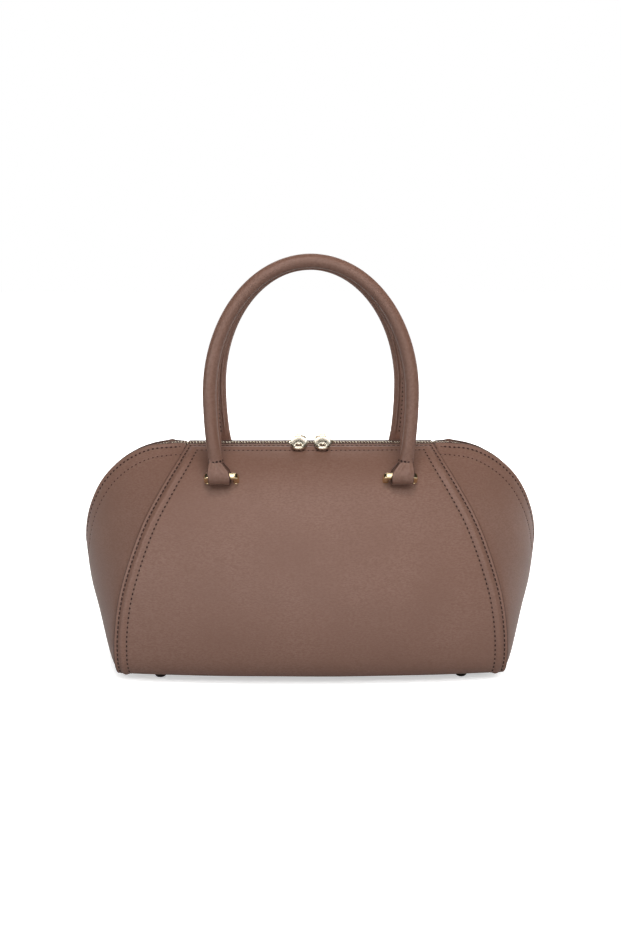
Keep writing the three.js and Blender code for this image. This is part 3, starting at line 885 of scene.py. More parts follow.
def metal_material(name, clean, rubbed, roughness):
    """Plated metal with hairlines and smears."""
    material, tree, shader = new_material(name)
    shader.inputs["Metallic"].default_value = 1.0
    handled = place_group(tree, scratch_group(), {"Fineness": 1100.0})
    worn = spread(tree, handled.outputs["Smears"], to=(0.0, 0.45), over=(0.45, 0.75))
    tree.links.new(mixed(tree, worn, clean, rubbed), shader.inputs["Base Color"])
    gloss = spread(tree, handled.outputs["Hairlines"], to=(roughness, roughness + HAIRLINE_GLOSS))
    tree.links.new(gloss, shader.inputs["Roughness"])
    relief(tree, shader, handled.outputs["Hairlines"], HAIRLINE_DEPTH)
    return material


@made_once("materials", "Pale gold")
def gold_finish(name):
    """Polished pale gold of the fittings."""
    colours = bpy.context.scene.handbag_colours
    return metal_material(name, colours.gold, colours.gold_worn, roughness=0.16)


@made_once("materials", "Loop gold")
def loop_finish(name):
    """Polished gold of the bridge loops."""
    colours = bpy.context.scene.handbag_colours
    return metal_material(name, colours.loop_gold, colours.gold_worn, roughness=0.14)


@made_once("materials", "Stud metal")
def stud_finish(name):
    """Dark plated studs."""
    colours = bpy.context.scene.handbag_colours
    return metal_material(name, colours.stud, scaled(colours.stud, STUD_RUBBED), roughness=0.32)


@made_once("materials", "Zip tape")
def tape_finish(name):
    """Woven tape with ribs along its length."""
    colours = bpy.context.scene.handbag_colours
    material, tree, shader = new_material(name)
    place = add_node(tree, "ShaderNodeTexCoord")
    ribs = add_node(tree, "ShaderNodeTexWave", {"Scale": 260.0, "Distortion": 0.6, "Detail": 1.0},
                    bands_direction="Y")
    picks = add_node(tree, "ShaderNodeTexWave", {"Scale": 330.0, "Distortion": 0.8, "Detail": 1.0},
                     bands_direction="X")
    for weave in (ribs, picks):
        tree.links.new(place.outputs["Object"], weave.inputs["Vector"])
    cross = maths(tree, "MULTIPLY", ribs.outputs["Fac"], picks.outputs["Fac"])
    woven = mixed(tree, cross, scaled(colours.tape, TAPE_SHADE), colours.tape)
    tree.links.new(woven, shader.inputs["Base Color"])
    shader.inputs["Roughness"].default_value = 0.85
    relief(tree, shader, cross, depth=0.15 * MM)
    return material


@made_once("materials", "Studio floor")
def floor_finish(name):
    """Pale studio floor that shows white around the bag's soft shadow."""
    colours = bpy.context.scene.handbag_colours
    material, tree, shader = new_material(name)
    seen = add_node(tree, "ShaderNodeLightPath").outputs["Is Camera Ray"]
    tree.links.new(mixed(tree, seen, colours.floor, FLOOR_SEEN), shader.inputs["Base Color"])
    shader.inputs["Emission Color"].default_value = WHITE
    place = add_node(tree, "ShaderNodeTexCoord")
    away = add_node(tree, "ShaderNodeVectorMath", operation="LENGTH")
    tree.links.new(place.outputs["Object"], away.inputs[0])
    glow = spread(tree, away.outputs["Value"], to=FLOOR_GLOW, over=FLOOR_GLOW_REACH)
    tree.links.new(maths(tree, "MULTIPLY", seen, glow), shader.inputs["Emission Strength"])
    shader.inputs["Roughness"].default_value = 0.7
    return material


# Panels

# Distances of the border's mesh lines from the panel's edge
PANEL_BORDER = np.array([0, 0.25, 0.5, 0.8, 1.1, 1.4, 1.7, 2.0, 2.4, 2.9, 3.6, 4.4, 5.2, 5.9, 6.5, 7.0, 7.4,
                         7.8, 8.2, 8.7, 9.3, 10.2, 11.6]) * MM
# How bold the first and second stitch rows are, and how bold along the top beside the sides
ROW_BOLDNESS = (1.3, 0.8)
TOP_BOLDNESS = 0.9
ROW_START = 3 * MM
SIDE_STEPS = 220
TOP_STEPS = 200


def panel_grid(body):
    """t and q of the panel's mesh points, close together along its border."""
    edge = body.panel_wall / 2
    down = np.concatenate([PANEL_BORDER, np.linspace(PANEL_BORDER[-1], PANEL_RISE - edge, PANEL_ROWS)[1:]])
    t = t_below_ridge(edge + down)[::-1, None]
    width = level("seam_x", t)
    inset = (edge + PANEL_BORDER) / edge_slant(t)
    middle = np.linspace(-1, 1, PANEL_MIDDLE)[1:-1] * (width - inset[:, -1:])
    x = np.concatenate([inset - width, middle, (width - inset)[:, ::-1]], axis=1)
    return np.broadcast_to(t, x.shape), x / width


def panel_rows(body):
    """The panel's stitch rows, with their boldness: both sides and the top, for the first and second row."""
    rows = []
    for distance, size in zip((body.first_row, body.second_row), ROW_BOLDNESS):
        t = np.linspace(t_below_ridge(PANEL_RISE - ROW_START), t_below_ridge(distance), SIDE_STEPS)
        q = 1 - distance / edge_slant(t) / level("seam_x", t)
        rows += [(t, q, size), (t, -q, size)]
        across = np.linspace(-q[-1], q[-1], TOP_STEPS)
        rows.append((np.full(TOP_STEPS, t[-1]), across, TOP_BOLDNESS * size))
    return rows


def build_panel(context, side, place, lift=0.0):
    """One panel and its stitching: the back one is the front one turned about Z."""
    body, stitch = context.scene.handbag_body, context.scene.handbag_stitch
    t, q = panel_grid(body)
    face = panel_surface(body, t, q, lift)
    points, quads, marks = shell(face.reshape(-1, 3), grid_quads(*t.shape), body.panel_wall)
    made = make_object(f"{side}_panel_leather", place(points), quads, [leather_finish()], {"edge": marks})
    settle(made, [f"{side}_panel"])
    seams = Gathered()
    for t, q, size in panel_rows(body):
        sew(seams, stitch, place(panel_surface(body, t, q, lift)), place(panel_normal(t, q)), size)
    sewn_object(f"{side}_panel_stitching", seams)


class HANDBAG_OT_panels(bpy.types.Operator):
    """Front and back panels with their stitched borders"""
    bl_idname = "handbag.panels"
    bl_label = "Panels"

    def execute(self, context):
        build_panel(context, "front", np.array)
        build_panel(context, "back", turned_about_z, BACK_LIFT)
        return {"FINISHED"}


# Gussets

WING_CLOSENESS = 1.25
WING_GROOVE = 0.8
WING_GROOVE_WIDTH = 0.9 * MM
WING_BOLDNESS = (0.85, 0.6)
SLIT_TOP_STEPS = 20
SLIT_SIDE_STEPS = 160
# The rounded fold below the zip: how far it swells and reaches, where, and how often and how much it is
# evened
NOSE_SWELL = 2.0 * MM
NOSE_REACH = 16 * MM
NOSE_SWELL_T = (0.06, 0.2)
NOSE_FADE_T = (0.4, 0.55)
NOSE_BELOW_T = (0, 0.06)
NOSE_COLUMNS = (0.25, 0.5)
NOSE_ROUNDS = 90
NOSE_PULL = 0.5
# A stitch row found on the gusset's mesh: its order round the zip's end, its spacing, the widest jump in it,
# and how often it is evened
ROUND_END = 0.3
LINE_SPACING = 1.2 * MM
LINE_JUMP = 12 * MM
LINE_ROUNDS = 6


def gusset_grid(body):
    """The right gusset's outer face as rows and columns, and the cells that are leather."""
    t = np.linspace(0, WING_TOP_T, WING_ROWS)[:, None]
    k = 1 - (1 - np.linspace(0, 1, WING_COLUMNS)) ** WING_CLOSENESS
    grid = np.broadcast_arrays(t, k)
    lap_q = 1 - np.linspace(1, 0, LAP_COLUMNS, endpoint=False) * body.lap / level("seam_x", t)
    lap_t = np.broadcast_to(t, lap_q.shape)
    lap = panel_point(lap_t, lap_q) - panel_normal(lap_t, lap_q) * (body.panel_wall + body.seat_gap)
    front = np.concatenate([lap, wing_point(body, *grid)], axis=1)
    back = np.concatenate([lap, wing_point(body, *grid, EDGE_SUNK - BACK_LIFT)], axis=1)
    back = to_back(back[:, ::-1])
    part = np.linspace(0, 1, STRIP_COLUMNS + 2)[1:-1, None]
    strip = front[:, -1:] * (1 - part) + back[:, :1] * part
    face = np.concatenate([front, strip, back], axis=1)
    column = np.arange(face.shape[1] - 1)
    in_strip = (column >= front.shape[1] - 1) & (column <= front.shape[1] + STRIP_COLUMNS - 1)
    keep = ~in_strip | (t[1:] <= ZIP_END_T)
    return round_nose(face, t, front.shape[1]), keep


def round_nose(face, t, edge_column):
    """Rounds the fold across the middle line below the zip."""
    columns = face.shape[1]
    near = 1 - smooth_step(*NOSE_COLUMNS, np.abs(np.arange(columns) - (columns - 1) / 2) / columns)
    below = smooth_step(*NOSE_BELOW_T, ZIP_END_T - t)
    weight = (below * near)[:, 1:-1, None] * NOSE_PULL
    reach = face[:, edge_column - 1, 0].copy()
    for _ in range(NOSE_ROUNDS):
        mean = (face[:, :-2] + face[:, 2:]) / 2
        face[:, 1:-1] += weight * (mean - face[:, 1:-1])
    lost = reach - face[:, columns // 2, 0]
    swell = NOSE_SWELL * smooth_step(*NOSE_SWELL_T, t[:, 0]) * (1 - smooth_step(*NOSE_FADE_T, t[:, 0]))
    face[..., 0] += (lost + swell)[:, None] * bell(face[..., 1], NOSE_REACH)
    return face


def slit_outline(body):
    """The leather's edge round the zip on the right gusset, from the front seam round the end to the back."""
    top = wing_point(body, np.full(SLIT_TOP_STEPS, WING_TOP_T), np.linspace(0, 1, SLIT_TOP_STEPS))
    t = np.linspace(WING_TOP_T, ZIP_END_T, SLIT_SIDE_STEPS)
    down = wing_point(body, t, np.ones_like(t))
    front = np.concatenate([top, down[1:]])
    front[:, 1] += body.gusset_wall / 2
    return np.concatenate([front, to_back(front[::-1])])


def from_outline(points, outline):
    """Distance of points from a line, and how far along it the nearest place is."""
    start, leg = outline[:-1], np.diff(outline, axis=0)
    square = np.maximum((leg**2).sum(-1), TINY)
    reach = reach_of(outline)
    distance = np.empty(len(points))
    nearest = np.empty(len(points))
    for index, point in enumerate(points):
        part = np.clip(((point - start) * leg).sum(-1) / square, 0, 1)
        gap = np.linalg.norm(start + leg * part[:, None] - point, axis=1)
        best = gap.argmin()
        distance[index] = gap[best]
        nearest[index] = reach[best] + part[best] * (reach[best + 1] - reach[best])
    return distance, nearest


def level_line(face, normal, distance, nearest, wanted, keep):
    """The points and directions on a grid where the distance has the wanted value, along the outline."""
    rows = np.concatenate([face, normal, nearest[..., None]], axis=-1)
    found = []
    for axis in (0, 1):
        count = face.shape[axis] - 1
        here, after = range(count), range(1, count + 1)
        low, high = (distance.take(side, axis) - wanted for side in (here, after))
        crossing = (low * high < 0) & keep.take(here, axis) & keep.take(after, axis)
        part = (low / np.where(crossing, low - high, 1))[crossing][:, None]
        first, second = (rows.take(side, axis)[crossing] for side in (here, after))
        found.append(first * (1 - part) + second * part)
    found = np.concatenate(found)
    along, depth = found[:, -1], found[:, 1]
    return found[(along + ROUND_END * depth).argsort()]


def build_gusset(context, side, place):
    """One gusset and its stitching: the left one is the right one mirrored."""
    body, stitch = context.scene.handbag_body, context.scene.handbag_stitch
    face, keep = gusset_grid(body)
    rows, columns = face.shape[:2]
    quads = grid_quads(rows, columns, keep)
    flat = face.reshape(-1, 3)
    normal = vertex_normals(flat, quads).reshape(face.shape)
    outline = slit_outline(body)
    distance, nearest = (values.reshape(rows, columns) for values in from_outline(flat, outline))
    dent = grooves(distance, body.wing_first_row, body.wing_second_row, WING_GROOVE_WIDTH)
    face = face - normal * (WING_GROOVE * body.groove * dent)[..., None]
    points, walls, marks = shell(face.reshape(-1, 3), quads, body.gusset_wall)
    made = make_object(f"{side}_gusset_leather", place(points), walls, [leather_finish()], {"edge": marks})
    settle(made, [f"{side}_gusset"])
    column = np.arange(columns)
    shown = np.zeros((rows, columns), bool)
    shown[1:, 1:] = keep
    shown &= (column > LAP_COLUMNS + 1) & (column < columns - LAP_COLUMNS - 2)
    seams = Gathered()
    for wanted, size in zip((body.wing_first_row, body.wing_second_row), WING_BOLDNESS):
        line = evened_line(level_line(face, normal, distance, nearest, wanted, shown))
        sew(seams, stitch, place(line[:, :3]), place(line[:, 3:6]), size)
    sewn_object(f"{side}_gusset_stitching", seams)


def evened_line(line):
    """A line of grid crossings evened out."""
    near = np.concatenate([[True], np.linalg.norm(np.diff(line[:, :3], axis=0), axis=1) < LINE_JUMP])
    line = line[near]
    total = reach_of(line[:, :3])[-1]
    line = value_at(line[:, :3], line, np.linspace(0, total, int(total / LINE_SPACING)))
    for _ in range(LINE_ROUNDS):
        line[1:-1] = (line[:-2] + 2 * line[1:-1] + line[2:]) / 4
    return line


class HANDBAG_OT_gussets(bpy.types.Operator):
    """Side gussets that fold under the zip's ends, with two stitch rows beside the zip"""
    bl_idname = "handbag.gussets"
    bl_label = "Gussets"

    def execute(self, context):
        build_gusset(context, "right", np.array)
        build_gusset(context, "left", mirrored)
        return {"FINISHED"}


# Base and feet

BASE_FRONT_STEPS = 60
BASE_SIDE_STEPS = 16
BASE_SIDE_K = (0.12, 1)
BASE_RINGS = 7
# A stud from its middle over its dome to its top, as shares of its radius and height
FOOT_PROFILE = (
    (0, 0), (0.35, 0.004), (0.58, 0), (0.70, 0.08), (0.84, 0.30), (0.94, 0.55), (0.99, 0.78), (1, 0.9),
    (0.97, 0.98), (0.90, 1), (0, 1),
)
POLE_RADIUS = 1e-6


def base_outline(body, inset_y, inset_x):
    """The base's outline, inside the lower edges of the panels and the gussets."""
    q = np.linspace(-1, 1, BASE_FRONT_STEPS)
    front = panel_point(np.zeros_like(q), q)
    front[:, 0] *= 1 - inset_x / level("seam_x", 0)
    front[:, 1] += inset_y
    k = np.linspace(*BASE_SIDE_K, BASE_SIDE_STEPS)
    side = wing_point(body, np.zeros_like(k), k)
    side[:, 0] -= inset_x
    half = np.concatenate([front, side, to_back(side[::-1])])
    return np.concatenate([half, turned_about_z(half)])[:, :2]


class HANDBAG_OT_base(bpy.types.Operator):
    """Base plate of leather and its four studs"""
    bl_idname = "handbag.base"
    bl_label = "Base and feet"

    plate: length("Plate", "Thickness of the base", 1.6 * MM)
    inset: length("Inset", "Gap to the panels", 1.1 * MM)
    side_inset: length("Side inset", "Gap to the gussets", 2.4 * MM)

    def execute(self, context):
        outline = base_outline(context.scene.handbag_body, self.inset, self.side_inset)
        rings = []
        for part in np.linspace(0, 1, BASE_RINGS):
            drawn_in = self.plate / 2 * (1 - math.sin(math.pi * part))
            scale = 1 - drawn_in / np.linalg.norm(outline, axis=1)
            height = FLOOR_GAP + self.plate / 2 * (1 - math.cos(math.pi * part))
            rings.append(at_height(outline * scale[:, None], height))
        points, faces = closed_tube(np.array(rings))
        made = make_object("base_leather", points, faces, [leather_finish()])
        settle(made, ["base"])
        for foot in FEET:
            self.build_foot(foot)
        return {"FINISHED"}

    def build_foot(self, name):
        """A domed stud standing where its plain solid stands."""
        low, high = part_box(name)
        radius, tall = (high.x - low.x) / 2, high.z
        points, faces = lathe([(max(out * radius, POLE_RADIUS), up * tall) for out, up in FOOT_PROFILE])
        points = points + np.array([(low.x + high.x) / 2, (low.y + high.y) / 2, 0])
        settle(make_object(f"{name}_stud", points, faces, [stud_finish()]), [name])


# Zip

# One tooth from its hooked end to its clamp, in millimetres: place across, half length and half height
TOOTH_ROWS = (
    (-0.35, 0.26, 0.40), (-0.1, 0.42, 0.75), (0.4, 0.46, 0.98), (1.3, 0.46, 1.0), (1.9, 0.42, 0.92),
    (2.25, 0.28, 0.60),
)
TOOTH_SIDES = 10
TOOTH_SQUARE = 3.3
TOOTH_LEAN = 0.15
TOOTH_THICK = 2.0 * MM
TOOTH_LOOK = 0.5 * MM
ZIP_SUNK = 0.5 * MM
ZIP_SIDE_STEPS = 200
ZIP_SPARE = 2
CHAIN_STEPS = 900
TAPE_STEPS = 300
# A tape's section in millimetres, from its bead, which the teeth clamp, out under the leather and back: its
# depth and its place across
TAPE_SECTION = (
    (-1.5, 0.9), (-1.0, 1.0), (-0.7, 1.3), (-0.68, 1.6), (-0.9, 1.9), (-1.5, 2.1), (-2.0, 3.0), (-2.9, 4.5),
    (-4.7, 6.6), (-5.2, 6.6), (-3.4, 4.4), (-2.5, 2.9), (-2.2, 2.1), (-2.3, 1.5), (-2.0, 1.1),
)


def zip_line(count):
    """The zip's line from the left end over the ridge to the right end, as points at y = 0."""
    out, height = tip_place(np.linspace(1, ZIP_END_T, ZIP_SIDE_STEPS))
    down = stack(out, 0.0, height)
    line = evenly(np.concatenate([mirrored(down)[::-1], down]), count)
    return line[ZIP_SPARE:-ZIP_SPARE]


def tooth_rings():
    """One tooth across the zip, as rings (along, across, up) from its hooked end to its clamp."""
    long, tall = squared_section(TOOTH_SQUARE, TOOTH_SIDES).T
    rings = [stack(half_long * long + TOOTH_LEAN * across, across, half_tall * tall)
             for across, half_long, half_tall in TOOTH_ROWS]
    return np.array(rings) * MM


def build_teeth(context):
    """Interlocking teeth along the whole zip, as one piece."""
    line = zip_line(CHAIN_STEPS)
    half_pitch = context.scene.handbag_fitting.tooth_pitch / 2
    places = np.arange(half_pitch, reach_of(line)[-1], half_pitch)
    here = point_at(line, places)
    along = direction_at(line, places, TOOTH_LOOK)
    up = stack(-along[:, 2], 0.0, along[:, 0])
    rings = tooth_rings()
    _, faces = closed_tube(rings)
    teeth = Gathered()
    for index in range(len(places)):
        side = -1.0 if index % 2 else 1.0
        centre = here[index] - up[index] * (ZIP_SUNK + TOOTH_THICK / 2)
        shape = rings[..., 0:1] * along[index] * side + rings[..., 2:3] * up[index]
        teeth.add(centre + shape + rings[..., 1:2] * np.array([0.0, side, 0.0]), faces)
    made = make_object("zip_teeth", np.concatenate(teeth.points), teeth.faces, [gold_finish()])
    settle(made, ["zip_chain"])


def build_tape(side, name):
    """One woven tape, from under the teeth to under the leather's edge."""
    line = zip_line(TAPE_STEPS)
    section = np.array(TAPE_SECTION) * np.array([1.0, side]) * MM
    points, faces = closed_tube(flat_sweep(line, section))
    settle(make_object(f"{name}_weave", points, faces, [tape_finish()]), [name])


class HANDBAG_OT_zip(bpy.types.Operator):
    """Zip teeth and woven tapes along the ridge and down the gussets"""
    bl_idname = "handbag.zip"
    bl_label = "Zip"

    def execute(self, context):
        build_teeth(context)
        build_tape(-1.0, "front_zip_tape")
        build_tape(1.0, "back_zip_tape")
        return {"FINISHED"}


# Sliders and pulls

# Half a slider's outline, its bridge and half a pull's outline, in millimetres
SLIDER_OUTLINE = (
    (-8.0, 0.0), (-7.8, 1.6), (-7.0, 2.6), (-5.2, 3.2), (-2.5, 3.6), (0.6, 3.8), (3.4, 3.5), (4.9, 2.7),
    (5.3, 1.2), (5.35, 0.0),
)
BRIDGE_LINE = (
    (-2.6, 0.3), (-2.7, 1.6), (-2.3, 2.9), (-1.0, 3.25), (1.0, 3.3), (3.0, 3.2), (4.3, 2.7), (4.8, 1.6),
    (4.8, 0.3),
)
PULL_OUTLINE = (
    (2.3, 0.0), (2.5, -1.4), (3.9, -2.7), (5.1, -4.4), (5.8, -6.9), (6.0, -9.6), (5.8, -12.3), (5.2, -14.8),
    (4.2, -16.9), (2.4, -18.3), (0.0, -18.7),
)
# The slider's layers: share of its outline, and height in millimetres
SLIDER_ROWS = (
    (0.90, -1.7), (1.0, -1.5), (1.0, -0.2), (0.985, 0.2), (0.94, 0.5), (0.85, 0.74), (0.68, 0.92),
    (0.4, 1.04), (0.1, 1.08),
)
# The pull's upper face from its edge to its slot: share of the way, and height over its middle in millimetres
PULL_ROWS = (
    (0.0, 0.0), (0.0, 0.25), (0.025, 0.48), (0.08, 0.66), (0.20, 0.84), (0.40, 0.97), (0.60, 0.98),
    (0.74, 0.90), (0.82, 0.82), (0.88, 0.90), (0.94, 0.94), (0.98, 0.80), (1.0, 0.55),
)
SLIDER_STEPS = 26
SLIDER_LIFT = 0.1 * MM
BRIDGE_STEPS = 60
BRIDGE_SIDES = 16
BRIDGE_RADIUS = 0.75 * MM
BRIDGE_FLAT = 0.9
PULL_STEPS = 40
SLOT_Y = -14.6 * MM
SLOT_LONG = 2.1 * MM
SLOT_TALL = 1.9 * MM
EYE_RADIUS = 1.55 * MM
EYE_HOLE = 0.95 * MM
EYE_WIDE = 4.6 * MM
EYE_SQUARE = 4.0
EYE_SIDES = 32


def spline_points(rows, count):
    """A smooth line through rows of millimetre coordinates."""
    rows = np.array(rows, float) * MM
    t = np.linspace(0, 1, count)
    return np.stack([spline(rows[:, axis], t) for axis in range(rows.shape[1])], -1)


def build_slider(name, pull):
    """A slider: a domed plate over the teeth, side flanges and the bridge that carries the pull."""
    axis = PULL_AXES[pull]
    half = spline_points(SLIDER_OUTLINE, SLIDER_STEPS)
    outline = np.concatenate([half, (half * np.array([1.0, -1.0]))[::-1][1:-1]])
    metal = Gathered()
    rings = [at_height(outline * scale, height * MM) for scale, height in SLIDER_ROWS]
    metal.add(*closed_tube(np.array(rings)))
    path = spline_points(BRIDGE_LINE, BRIDGE_STEPS)
    path = stack(path[:, 0], 0.0, path[:, 1])
    section = round_section(BRIDGE_RADIUS, BRIDGE_SIDES) * np.array([BRIDGE_FLAT, 1.0])
    metal.add(*closed_tube(flat_sweep(path, section)))
    points = np.concatenate(metal.points)
    if axis.x > 0:
        points = turned_about_z(points)
    points = points + np.array([axis.x, 0, RIDGE_Z + SLIDER_LIFT])
    made = make_object(f"{name}_metal", points, metal.faces, [gold_finish()])
    settle(made, [name])


def pull_plate():
    """The pull's tab: a pillowed plate with a slot, lying along -Y from the axis."""
    half = spline_points(PULL_OUTLINE, PULL_STEPS)
    outline = np.concatenate([half, (half * np.array([-1.0, 1.0]))[::-1][1:]])
    centre = np.array([0.0, SLOT_Y])
    angle = np.arctan2(outline[:, 1] - centre[1], outline[:, 0])
    slot = centre + stack(SLOT_LONG * np.cos(angle), SLOT_TALL * np.sin(angle))
    upper = [at_height(outline * (1 - part) + slot * part, height * MM) for part, height in PULL_ROWS]
    lower = [ring * np.array([1.0, 1.0, -1.0]) for ring in upper[:0:-1]]
    return closed_ring(np.array(upper + lower))


def pull_eye():
    """The pull's eye: a barrel round the hinge's axis, along X."""
    angle = round_angles(EYE_SIDES)
    middle, thick = (EYE_RADIUS + EYE_HOLE) / 2, (EYE_RADIUS - EYE_HOLE) / 2
    rings = []
    for out, along in squared_section(EYE_SQUARE):
        radius = middle + thick * out
        rings.append(stack(EYE_WIDE / 2 * along, radius * np.cos(angle), radius * np.sin(angle)))
    return closed_ring(np.array(rings))


def build_pull(context, name, body):
    """A pull that hangs forward from its slider's bridge and swings over it."""
    metal = Gathered()
    metal.add(*pull_plate())
    metal.add(*pull_eye())
    rest = Matrix.Rotation(context.scene.handbag_fitting.pull_rest, 3, "X")
    points = np.concatenate(metal.points) @ np.array(rest).T + np.array(PULL_AXES[body])
    made = make_object(f"{name}_metal", points, metal.faces, [gold_finish()])
    settle(made, [name], body)


class HANDBAG_OT_sliders(bpy.types.Operator):
    """Two zip sliders that meet at the middle, each with a swinging pull"""
    bl_idname = "handbag.sliders"
    bl_label = "Sliders and pulls"

    def execute(self, context):
        for side in ("left", "right"):
            build_slider(f"{side}_zip_slider", f"{side}_pull")
            build_pull(context, f"{side}_zip_pull", f"{side}_pull")
        return {"FINISHED"}


# Bridge loops

BAR_SQUARE = 3.4
LOOP_STEPS = 90
ELBOW_STEPS = 12
LOOP_FOOT = 0.4 * MM
# A post's collar, radius and height in millimetres, and its lift over the panel
COLLAR = ((1e-3, 0.0), (2.3, 0.0), (2.4, 0.15), (2.35, 0.35), (2.1, 0.5), (1.8, 0.55), (1e-3, 0.55))
COLLAR_LIFT = 0.15 * MM
# The part of the panel in which a loop's seat is searched for, and how often it is halved
SEAT_T = (0.5, 1.0)
SEAT_HALVINGS = 40


def panel_place(t, x):
    """The panel's point and outward direction at t and a distance from the middle."""
    t = np.array(t)
    q = x / level("seam_x", t)
    return panel_point(t, q), panel_normal(t, q)


def loop_seat(fitting, x):
    """Where a loop sits on the front panel: the foot's point, and the tilt of the panel there."""
    low, high = SEAT_T
    for _ in range(SEAT_HALVINGS):
        middle = (low + high) / 2
        foot, normal = panel_place(middle, x)
        if (foot + normal * fitting.bar_stand)[2] < fitting.bar_height:
            low = middle
        else:
            high = middle
    foot, normal = panel_place(low, x)
    return foot, math.atan2(-normal[1], normal[2])


def loop_path(fitting):
    """The middle line of a loop, from one foot over the bar to the other."""
    x, top, bend = fitting.post_span, fitting.bar_stand, fitting.elbow
    angle = np.linspace(0, math.pi / 2, ELBOW_STEPS)
    corner = stack(bend * np.cos(angle), 0.0, bend * np.sin(angle)) + np.array([x - bend, 0, top - bend])
    right = np.concatenate([np.array([[x, 0, LOOP_FOOT]]), corner])
    return evenly(np.concatenate([right, mirrored(right)[::-1]]), LOOP_STEPS)


def build_loop(context, name, x, place):
    """A bridge loop: a bar on two posts, each with a flat collar on the panel."""
    fitting = context.scene.handbag_fitting
    seat, tilt = loop_seat(fitting, x)
    metal = Gathered()
    section = squared_section(BAR_SQUARE) * fitting.bar_radius
    metal.add(*closed_tube(flat_sweep(loop_path(fitting), section)))
    collar, faces = lathe(np.array(COLLAR) * MM)
    for side in (-1, 1):
        metal.add(collar + np.array([side * fitting.post_span, 0, COLLAR_LIFT]), faces)
    tilted = Matrix.Rotation(tilt, 3, "X")
    points = np.concatenate(metal.points) @ np.array(tilted).T + seat
    made = make_object(f"{name}_metal", place(points), metal.faces, [loop_finish()])
    settle(made, [name])


class HANDBAG_OT_loops(bpy.types.Operator):
    """Four bridge loops that carry the handles"""
    bl_idname = "handbag.loops"
    bl_label = "Bridge loops"

    def execute(self, context):
        x = context.scene.handbag_fitting.loop_x
        build_loop(context, "front_left_loop", -x, np.array)
        build_loop(context, "front_right_loop", x, np.array)
        build_loop(context, "back_right_loop", -x, turned_about_z)
        build_loop(context, "back_left_loop", x, turned_about_z)
        return {"FINISHED"}


# Handles

# Where the roll's sewn edge lies round the tube, from the inside of the arch
FRONT_SEAM = math.radians(24)
BACK_SEAM = math.radians(82)
HANDLE_STEPS = 260
LEG_STEPS = 60
ARCH_STEPS = 160
# The sewn edge in radians from its middle: where the mesh is close, its two lips and the groove between them
SEAM_SPAN = 0.62
SEAM_ANGLES = np.array([-SEAM_SPAN, -0.48, -0.38, -0.30, -0.24, -0.19, -0.14, -0.09, -0.04, 0.0])
ROUND_STEPS = 34
LIP_PLACE = 0.10
LIP_WIDTH = 0.13
LIP_GROOVE = 0.35
LIP_GROOVE_WIDTH = 0.05
# The cuffs: how high they are flattened, where the sewn edge fades in, how much wider and thinner the tube is
# there, and how its end rolls in, as a share of its ring and a step in millimetres
CUFF_FLAT_Z = (0, 11 * MM)
SEAM_FADE_Z = (4 * MM, 16 * MM)
CUFF_WIDER = 0.10
CUFF_THINNER = 0.20
CUFF_ROLL = ((0.985, 0.25), (0.95, 0.45), (0.90, 0.5), (0.6, 0.3), (0.2, 0.1))
# The stitch rows: beside the sewn edge, and round each cuff
SEAM_ROW_ANGLE = 0.48
SEAM_ROW_SPARE = 8
SEAM_BOLDNESS = 0.7
CUFF_ROW = 1.5 * MM
CUFF_BOLDNESS = 0.85
CUFF_CLOSENESS = 1.4


def leg_height(handle):
    """How high the arch springs above the bar."""
    return handle.spring_z - bpy.context.scene.handbag_fitting.bar_height


def leg_x(handle, rise):
    """How far out a handle's leg stands at a height above the bar."""
    part = np.clip(1 - rise / leg_height(handle), 0, 1)
    return handle.half_width - (handle.half_width - handle.tab_x) * part**2


def handle_line(handle, low):
    """A handle's middle line above the bar, from the right cuff over the arch to the left."""
    leg = leg_height(handle)
    rise = np.linspace(low, leg, LEG_STEPS)
    right = stack(leg_x(handle, rise), 0.0, rise)
    angle = np.linspace(0, math.pi, ARCH_STEPS)[1:-1]
    arch = stack(handle.half_width * np.cos(angle), 0.0, leg + handle.rise * np.sin(angle))
    return evenly(np.concatenate([right, arch, mirrored(right)[::-1]]), HANDLE_STEPS)


def seam_angles():
    """Angles round the roll from its sewn edge, close together there."""
    rest = np.linspace(SEAM_SPAN, 2 * math.pi - SEAM_SPAN, ROUND_STEPS)[1:-1]
    return np.concatenate([SEAM_ANGLES, -SEAM_ANGLES[:-1][::-1], rest])


def tube_rings(handle, line, seam):
    """Rings of the rolled tube: round, with its sewn edge proud, and flattened at the cuffs."""
    from_seam = seam_angles()
    angle = seam + from_seam
    from_seam = np.minimum(from_seam, 2 * math.pi - from_seam) * np.sign(math.pi - from_seam)
    lip = bell(np.abs(from_seam) - LIP_PLACE, LIP_WIDTH) * (np.abs(from_seam) < SEAM_SPAN)
    lip -= LIP_GROOVE * bell(from_seam, LIP_GROOVE_WIDTH)
    above = line[:, 2] - handle.tab_top
    flat = 1 - smooth_step(*CUFF_FLAT_Z, above)
    fade = smooth_step(*SEAM_FADE_Z, above)
    radius = handle.radius + handle.flange * lip[None, :] * fade[:, None]
    inner = radius * np.cos(angle) * (1 + CUFF_WIDER * flat[:, None])
    across = radius * np.sin(angle) * (1 - CUFF_THINNER * flat[:, None])
    return flat_sweep(line, stack(inner, across))


def cuffed(rings):
    """Rings with rolled-in ends, so that each cuff has a rounded edge."""
    def closing(ring, before):
        """Rings that roll an end in, away from the ring before it."""
        centre = ring.mean(0)
        away = unit(centre - before.mean(0))
        return [centre + (ring - centre) * scale + away * step * MM for scale, step in CUFF_ROLL]
    first = closing(rings[0], rings[1])
    last = closing(rings[-1], rings[-2])
    return np.concatenate([np.array(first[::-1]), rings, np.array(last)])


